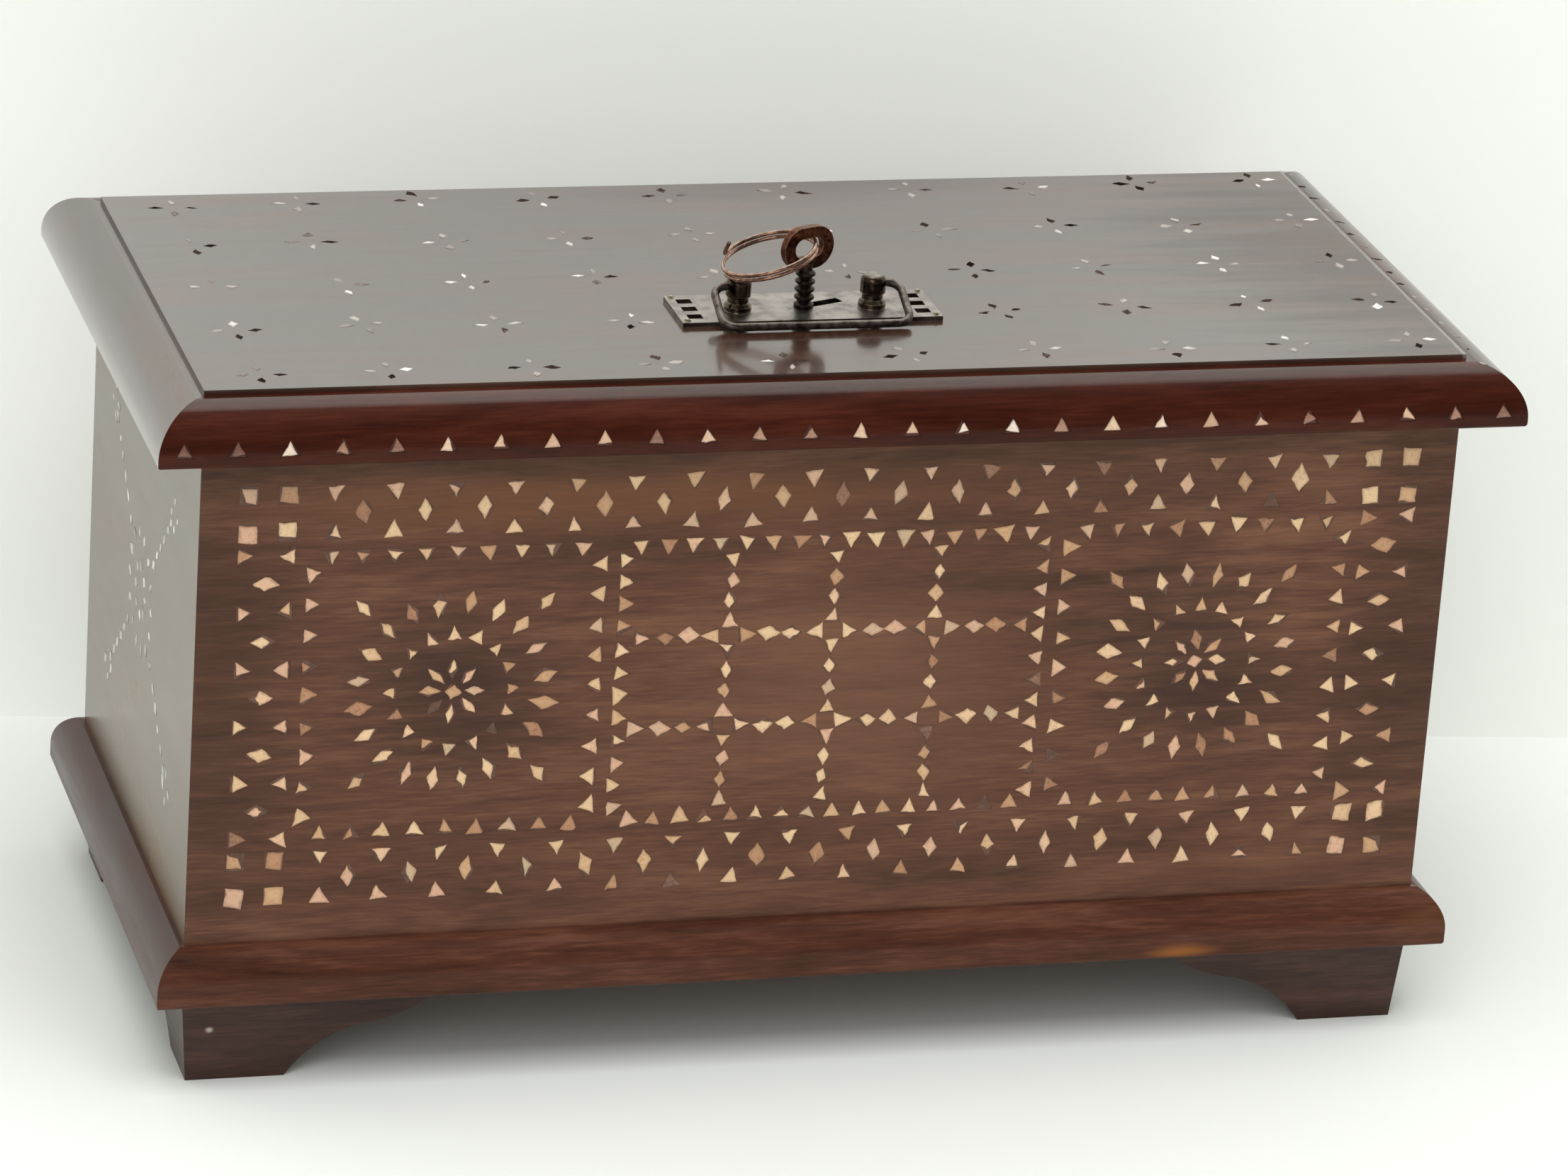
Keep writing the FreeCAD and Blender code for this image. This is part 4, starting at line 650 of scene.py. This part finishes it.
class CHEST_OT_carcass(bpy.types.Operator):
    """Walls of stained hardwood, and plain wood where it is out of sight"""

    bl_idname = "chest.carcass"
    bl_label = "Carcass"

    def execute(self, context):
        settings = context.scene.chest.wood
        shades = [colour_of(c) for c in (settings.front_dark, settings.front_middle, settings.front_light)]
        # Dry wax leaves a soft sheen that mirrors nothing. The colour is darker round the rosettes and at
        # both ends, and lighter in the middle and along the borders. The reach in depth takes in the slope.
        face, deep = -95, 60
        halos = [((side * 126, face, 134), (44, deep, 42), "#2c1f1c", 0.5) for side in (-1, 1)]
        ends = [((side * 204, face, 132), (40, deep, 120), "#35221b", 0.48) for side in (-1, 1)]
        worn = [
            ((-60, face, 199), (190, deep, 15), "#7d5335", 0.5),
            ((150, face, 60), (90, deep, 12), "#6b4632", 0.35),
            ((10, face, 130), (80, deep, 60), "#835c47", 0.38)]
        front = wood("Stained hardwood, dry wax", shades, 0, shine=0.18, patches=halos + ends + worn)
        finish_nodes(front, "front_panel")
        finish_nodes(wood("Stained hardwood, back", shades, 0), "back_panel")
        # Gloss wax is a soft mirror and makes the end walls look paler than they are.
        dull = [linear(c) for c in ("#49351f", "#5a4329", "#6a5033")]
        sides = wood(
            "Stained hardwood, waxed to a gloss", dull, 1, figure=(160, 40), streak=(90, 16),
            gloss=(0.22, 0.28), coat=(0.08, 0.1, 1.5))
        finish_nodes(sides, "left_panel", "right_panel")
        # Bare softwood is pale and matt.
        bare = [linear(c) for c in ("#5f432a", "#8a6440", "#a67d52")]
        softwood = wood("Unpolished softwood", bare, 0, gloss=(0.6, 0.8))
        finish_nodes(softwood, "bottom_board", "foot_glue_blocks")
        return {"FINISHED"}


class CHEST_OT_mouldings(bpy.types.Operator):
    """Base and lid mouldings, the lid board and the bracket feet"""

    bl_idname = "chest.mouldings"
    bl_label = "Mouldings and feet"

    def execute(self, context):
        settings = context.scene.chest.wood
        shades = [colour_of(c) for c in (settings.rail_dark, settings.rail_middle, settings.rail_light)]
        # French polish is a clear mirror in a band along the top; below it is rubbed, and the red shows.
        satin = {"gloss": (0.26, 0.4), "shine": 0.12}
        long_wood = wood(
            "Red hardwood, French polish", shades, 0, coat=(0.66, 0.1, 1.8), rubbed=(0.055, 0.845, 0.9),
            **satin)
        finish_nodes(long_wood, *(f"lid_rail_{side}" for side in LONG_RAILS))
        # The base is rubbed lighter, most of all at a knock on its front. A paler patch near its right end
        # is a painted highlight.
        pale = [linear(c) for c in ("#2f1a12", "#4e2d20", "#6e4634")]
        worn = [((126, -105, 34), (16, 8, 4), "#8a5526", 0.9), ((212, -104, 40), (14, 10, 8), "#5c3a24", 0.6)]
        base_wood = wood(
            "Red hardwood, worn polish", pale, 0, coat=(0.9, 0.1, 1.8), rubbed=(0.04, 0.92, 1.0),
            patches=worn, **satin)
        finish_nodes(base_wood, *(f"base_rail_{side}" for side in LONG_RAILS))
        top = [linear(c) for c in ("#2a1a14", "#3d271e", "#523627")]
        # The left rail is a clear mirror; the right one is rubbed dull.
        for side, polish in (("left", 0.92), ("right", 0.42)):
            side_wood = wood(
                f"Dark hardwood, French polish, {side} end", top, 1, streak=(90, 9), gloss=(0.2, 0.28),
                shine=0.5 * polish, coat=(polish, 0.09, 1.55))
            finish_nodes(side_wood, f"lid_rail_{side}")
        # Rubbed polish leaves the ends of the base a faint gloss.
        low_wood = wood("Red hardwood, rubbed polish, ends", shades, 1, shine=0.28, coat=(0.2, 0.12, 1.5))
        finish_nodes(low_wood, *(f"base_rail_{side}" for side in SIDE_RAILS))
        # A pale line painted along the board's right edge stands for the highlight on its step there.
        edge = [((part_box("lid_board")[1].x / MM - 0.6, 0, 240), (1.2, 600, 6), "#75716b", 1.0)]
        # The lid's polish is a dark mirror, dull towards its right end and behind the handle.
        handled = [((215, 0, 240), (110, 200, 60), 0.7), ((30, 95, 240), (120, 35, 60), 0.35)]
        lid = wood(
            "Dark hardwood, French polish", top, 0, streak=(80, 9), gloss=(0.16, 0.26), shine=0.55,
            coat=(1.0, 0.1, 1.62), rubbed=(0.1, 0.92, 1.0), patches=edge, dulled=handled)
        finish_nodes(lid, "lid_board")
        foot = [linear(c) for c in ("#261611", "#3b251d", "#54392e")]
        # Worn polish has a low sheen, and a small near-white speck is laid on the front left foot.
        speck = [((-200.4, -95, 18.3), (2.4, 4, 1.6), "#d5ccc2", 1.0)]
        for along, kind in enumerate(("long", "side")):
            brackets = wood(
                f"Dark hardwood, worn polish, {kind}", foot, along, gloss=(0.25, 0.42), shine=0.3,
                patches=speck)
            finish_nodes(brackets, *(f"foot_{corner}_{kind}_bracket" for corner in CORNERS))
        return {"FINISHED"}


class CHEST_OT_front_inlay(bpy.types.Operator):
    """Chips of the front, cut and laid by hand, in beds of dark filler"""

    bl_idname = "chest.front_inlay"
    bl_label = "Front inlay"

    def execute(self, context):
        settings = context.scene.chest.inlay
        rng = np.random.default_rng(settings.seed)
        # Yellowed with age, the chips run from brown to cream and gleam a little.
        material = shell("Nacre and bone, yellowed", (
            (0.0, linear("#5f4031")), (1.0, linear("#b8a27e")), (0.18, linear("#a3714d")),
            (0.42, linear("#c69b70")), (0.62, linear("#e2c094")), (0.82, linear("#d1a184"))), "#6e4128")
        chips, beds = [], []
        for name, sides in zip(FRONT_CHIPS, (3, 4, 4)):
            middle, flat, axes = chip_outlines(name, sides, (0, -1, 0))
            chips.append(lay_chips(middle, flat, axes, rng, settings))
            beds.append(bed(middle, flat, axes))
        piece = chip_piece(
            "front_chips", chips, material, "chest",
            lambda count: rng.beta(2.2, 1.6, count))
        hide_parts(*FRONT_CHIPS)
        filler_piece("front_filler", beds, ("#4a3023", "#6a4735"), "chest")
        return {"FINISHED"}


class CHEST_OT_lid_edge_inlay(bpy.types.Operator):
    """Row of triangular chips along the front moulding of the lid"""

    bl_idname = "chest.lid_edge_inlay"
    bl_label = "Lid edge inlay"

    def execute(self, context):
        settings = context.scene.chest.inlay
        rng = np.random.default_rng(settings.seed + 1)
        # These chips are paler and glossier than those of the front.
        material = shell("Nacre, pale and chipped", (
            (0.0, linear("#6d4a3c")), (1.0, linear("#f4efe6")), (0.3, linear("#a57d66")),
            (0.65, linear("#d2ae8e"))), "#4a2418", (0.15, 0.4))
        middle, flat, axes = chip_outlines("lid_edge_inlay", 3, (0, -1, 0), True)
        middle[:, 1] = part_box("lid_rail_front")[0].y
        laid = self.rounded(lay_chips(middle, flat, axes, rng, settings))
        piece = chip_piece(
            "lid_edge_chips", [laid], material, "lid",
            lambda count: rng.beta(1.5, 1.6, count))
        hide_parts("lid_edge_inlay")
        beds = self.rounded(bed(middle, flat, axes))
        filler_piece("lid_edge_filler", [beds], ("#3a1a11", "#52281b"), "lid")
        return {"FINISHED"}

    def rounded(self, laid):
        """Chips moved back with the round of the rail.

        Above the rail's low lip its face follows a quarter of a circle of radius r, so a point at a
        height h over the lip moves back by r - sqrt(r * r - h * h), and a little more to sit in the wood.
        """
        sunk = 0.25 * MM
        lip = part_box("lid_rail_front")[0].z + LID_LIP
        moved = []
        for part in laid:
            height = np.clip(part[..., 2] - lip, 0.0, LID_ROUND)
            back = LID_ROUND - np.sqrt(LID_ROUND ** 2 - height ** 2) + sunk
            moved.append(part + back[..., None] * np.array([0.0, 1.0, 0.0]))
        return moved


class CHEST_OT_flowers(bpy.types.Operator):
    """Small shell flowers in rows over the lid, seats along its right rail and a star on each end wall"""

    bl_idname = "chest.flowers"
    bl_label = "Lid flowers, rail seats and end stars"

    def execute(self, context):
        settings = context.scene.chest.inlay
        rng = np.random.default_rng(settings.seed + 2)
        # The palest chips are painted white for the glints of pearl; seats without a chip are black and dull.
        material = shell("Mother of pearl", (
            (0.0, linear("#15100e")), (1.0, linear("#f5f1ea")), (0.3, linear("#3a2f2a")),
            (0.42, linear("#7a6f68")), (0.8, linear("#aaa198"))), "#4a3a32", (0.08, 0.2), 0.34)
        chip_piece(
            "lid_flowers", [self.flowers(rng, settings)], material, "lid", rng.random)
        for side, name in ((-1, "left"), (1, "right")):
            chip_piece(
                f"{name}_star", [self.star(side, rng, settings)], material, "chest",
                lambda count: rng.uniform(0.5, 1.0, count))
        rng = np.random.default_rng(settings.seed + 3)
        chip_piece(
            "right_rail_seats", [self.seats(rng, settings)], material, "lid",
            lambda count: rng.uniform(0.2, 0.62, count))
        return {"FINISHED"}

    def seats(self, rng, settings):
        """Row of small seats along the right lid rail, many without their chips.

        They lie a distance d out on the round of the rail, of radius r, where it has fallen by
        r - sqrt(r * r - d * d) and its normal leans out by the angle whose sine is d / r.
        """
        low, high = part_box("lid_rail_right")
        out, step = 2.6 * MM, 13 * MM
        lean = out / LID_ROUND
        upright = math.sqrt(1.0 - lean ** 2)
        run = np.arange(low.y + step, high.y - step / 2, step)
        place = (high.x - LID_ROUND + out, high.z - LID_ROUND * (1.0 - upright))
        middle = np.stack([np.full(len(run), place[0]), run, np.full(len(run), place[1])], axis=1)
        flat = lozenge_flat(np.tile((1.0, 0.0), (len(run), 1)), length=3.2 * MM, width=2.6 * MM)
        return lay_chips(middle, flat, plane_axes((lean, 0.0, upright)), rng, settings, 2)

    def flowers(self, rng, settings):
        """Four lozenges in a cross at each place of a grid of 10 by 5, none near the handle plate.

        A flower is moved and turned a little at random. Its petals lie at one distance from its middle, a
        quarter turn apart, and point away from it.
        """
        low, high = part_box("lid_board")
        plate_low, plate_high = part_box("handle_plate")
        room, reach = 8 * MM, 5.8 * MM
        stray, askew = 1.2 * MM, 0.12
        columns = np.linspace(low.x + 21 * MM, high.x - 13 * MM, 10)
        rows = np.linspace(low.y + 13 * MM, high.y - 12 * MM, 5)
        x, y = np.meshgrid(columns, rows)
        spots = np.stack([x.ravel(), y.ravel()], axis=1) + rng.normal(0.0, stray, (x.size, 2))
        past_low = spots > np.array(plate_low[:2]) - room
        short_of_high = spots < np.array(plate_high[:2]) + room
        spots = spots[~(past_low & short_of_high).all(axis=1)]
        turn = rng.normal(0.0, askew, (len(spots), 1)) + np.arange(4) * (math.pi / 2)
        along = np.stack([np.cos(turn), np.sin(turn)], axis=-1)
        at = spots[:, None] + along * reach
        middle = np.concatenate([at.reshape(-1, 2), np.full((at.size // 2, 1), high.z)], axis=1)
        axes = plane_axes((0, 0, 1))
        along = along.reshape(-1, 2) @ np.array([[axes[0][0], axes[1][0]], [axes[0][1], axes[1][1]]])
        flat = lozenge_flat(along, length=5.6 * MM, width=3.0 * MM)
        return lay_chips(middle, flat, axes, rng, settings, 2)

    def star(self, side, rng, settings):
        """A ring with petals in the middle of the end wall, and four arms of lozenges towards its corners.

        Petals and beads lie on two circles. Each arm is a straight row at one slope and ends in a cross
        of four. All lozenges point away from the middle.
        """
        low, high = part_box("left_panel" if side < 0 else "right_panel")
        middle_z = (low.z + high.z) / 2
        # Distances from the middle in millimetres, and the size of the crosses at the ends.
        petal_ring, bead_ring, arm_start, arm_stop, tip, cross = 8.5, 19.5, 28, 66, 72, 5.0
        slope = math.radians(41)
        turn = np.arange(8) * (math.pi / 4)
        petals = np.stack([np.cos(turn), np.sin(turn)], axis=1)
        ring = np.arange(14) * (2 * math.pi / 14)
        beads = np.stack([np.cos(ring), np.sin(ring)], axis=1)
        corners = np.array(((1, 1), (-1, 1), (1, -1), (-1, -1)))
        arm = np.array([math.cos(slope), math.sin(slope)]) * corners
        arms = (arm[:, None] * np.linspace(arm_start, arm_stop, 6)[:, None]).reshape(-1, 2)
        ends = (arm[:, None] * tip + cross * petals[::2]).reshape(-1, 2)
        spots = np.concatenate([petals * petal_ring, beads * bead_ring, arms, ends]) * MM
        along = spots / np.linalg.norm(spots, axis=1, keepdims=True)
        axes = plane_axes((side, 0, 0))
        face = np.full(len(spots), high.x if side > 0 else low.x)
        at = np.stack([face, spots[:, 0], middle_z + spots[:, 1]], axis=1)
        world = np.stack([np.zeros(len(spots)), along[:, 0], along[:, 1]], axis=1)
        turned = np.stack([world @ axes[0], world @ axes[1]], axis=1)
        flat = lozenge_flat(turned, length=5.6 * MM, width=3.8 * MM)
        return lay_chips(at, flat, axes, rng, settings, 2)


class CHEST_OT_metalwork(bpy.types.Operator):
    """Hinges, lock, handle plate, posts and bail"""

    bl_idname = "chest.metalwork"
    bl_label = "Metalwork"

    def execute(self, context):
        # Tarnish dulls the brass of the hinges to brown.
        hinge = worn_metal("Brass, tarnished", "#3d2f18", "#7a6233", "#b89a5a")
        parts = ("lower_leaf", "upper_leaf", "pin")
        finish_nodes(hinge, *(f"hinge_{part}_{side}" for part in parts for side in SIDE_RAILS))
        # Blackened iron is nearly black, grey on its edges.
        iron = worn_metal("Iron, blackened", "#14110f", "#2e2825", "#6b635c")
        lock = ("lock_case", "lock_barrel", "lock_bolt", "lock_keeper")
        screws = ("hinge_screws_lower", "hinge_screws_upper", "lock_case_screws", "lock_keeper_screws")
        finish_nodes(iron, *lock, "handle_nuts", *screws)
        # The plate's patina is grey and cloudy, the bail's darker, and hands keep the posts' caps bright.
        bronze = worn_metal(
            "Bronze, grey patina", "#443b38", "#877c77", "#c8beb9", rough=(0.26, 0.42), rub=0.75, grit=6.0)
        finish_nodes(bronze, "handle_plate")
        bail = worn_metal("Bronze, dark patina", "#3a322f", "#7d716c", "#c6bab2", rub=0.6, grit=3.0)
        finish_nodes(bail, "bail")
        posts = worn_metal(
            "Bronze, rubbed bright", "#2c241e", "#6a5c4a", "#f0e4d4", rough=(0.16, 0.3), rub=0.5, grit=4.0)
        finish_nodes(posts, "handle_post_left", "handle_post_right")
        tacks = worn_metal("Brass, rubbed bright", "#544a38", "#8d8166", "#cfc6ac", rub=1.0)
        finish_nodes(tacks, "handle_plate_tacks")
        return {"FINISHED"}


class CHEST_OT_key(bpy.types.Operator):
    """Key with its ring of wire, two turns side by side"""

    bl_idname = "chest.key"
    bl_label = "Key and ring"

    def execute(self, context):
        # The bow is rust-brown and handled, the stem below it black.
        iron = worn_metal(
            "Iron, brown patina", "#331d15", "#774a36", "#c29477", rough=(0.26, 0.44), rub=0.4,
            sooty=(0.254, 0.258))
        finish_nodes(iron, "key")
        # Drawn copper is pink and bright.
        wire = worn_metal("Copper wire, drawn", "#7d5a4a", "#c49a86", "#f2ddd0", rough=(0.16, 0.3), rub=0.6)
        ring = self.ring(wire)
        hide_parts("key_ring")
        return {"FINISHED"}

    def ring(self, material):
        """A round wire along a flat helix of almost two turns about the ring's axis, its last end bent up.

        At a turn t its middle lies at the ring's radius from the axis and the pitch times t along it.
        Round that point runs a circle of the wire's own radius.
        """
        low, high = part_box("key_ring")
        middle = np.array([(low.x + high.x) / 2, (low.y + high.y) / 2, (low.z + high.z) / 2])
        joint = next(j for j in frame["joints"] if j["name"] == "ring_swing")
        held = np.array(joint["pos_m"])
        arm = held - middle
        radius = np.linalg.norm(arm)
        out = arm / radius
        back = np.array([0.0, 1.0, 0.0])
        axis = np.cross(out, back)
        axis *= np.sign(axis[2])
        wire, pitch, below = 0.7 * MM, 1.62 * MM, 0.35 * MM
        begin, turns, bent, rise = 0.509, 1.93, 0.04, 5.0 * MM
        turn = np.linspace(0.0, turns, 170)[:, None]
        angle = 2 * math.pi * (turn + begin)
        radial = np.cos(angle) * out + np.sin(angle) * back
        tip = np.clip((turn - turns + bent) / bent, 0.0, 1.0) ** 1.5 * rise
        upright = np.array([0.0, 0.0, 1.0]) - radial * 0.4
        path = middle + radial * radius + axis * (pitch * turn - below) + upright * tip
        around = np.linspace(0.0, 2 * math.pi, 10, endpoint=False)[None, :, None]
        rings = path[:, None] + wire * (np.cos(around) * radial[:, None] + np.sin(around) * axis)
        points, faces = shells(rings[None], path[None, 0], path[None, -1])
        piece = new_piece("key_ring_wire", points, faces, material, "key_ring")
        piece.data.polygons.foreach_set("use_smooth", np.ones(len(piece.data.polygons), dtype=bool))
        return piece


class CHEST_PT_panel(bpy.types.Panel):
    """Steps that dress the chest"""

    bl_label = "Chest"
    bl_idname = "CHEST_PT_panel"
    bl_space_type = "VIEW_3D"
    bl_region_type = "UI"
    bl_category = "Chest"

    def draw(self, context):
        for step in STEPS:
            self.layout.operator(step.bl_idname)


STEPS = (
    CHEST_OT_stage,
    CHEST_OT_carcass,
    CHEST_OT_mouldings,
    CHEST_OT_front_inlay,
    CHEST_OT_lid_edge_inlay,
    CHEST_OT_flowers,
    CHEST_OT_metalwork,
    CHEST_OT_key,
)
SETTINGS = (ChestStageSettings, ChestWoodSettings, ChestInlaySettings, ChestSettings)
CLASSES = SETTINGS + STEPS + (CHEST_PT_panel,)


def register():
    for kind in CLASSES:
        bpy.utils.register_class(kind)
    bpy.types.Scene.chest = PointerProperty(type=ChestSettings)


def unregister():
    del bpy.types.Scene.chest
    for kind in reversed(CLASSES):
        bpy.utils.unregister_class(kind)


def main():
    """Register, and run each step."""
    register()
    bpy.ops.chest.stage()
    bpy.ops.chest.carcass()
    bpy.ops.chest.mouldings()
    bpy.ops.chest.front_inlay()
    bpy.ops.chest.lid_edge_inlay()
    bpy.ops.chest.flowers()
    bpy.ops.chest.metalwork()
    bpy.ops.chest.key()


if __name__ == "__main__":
    main()
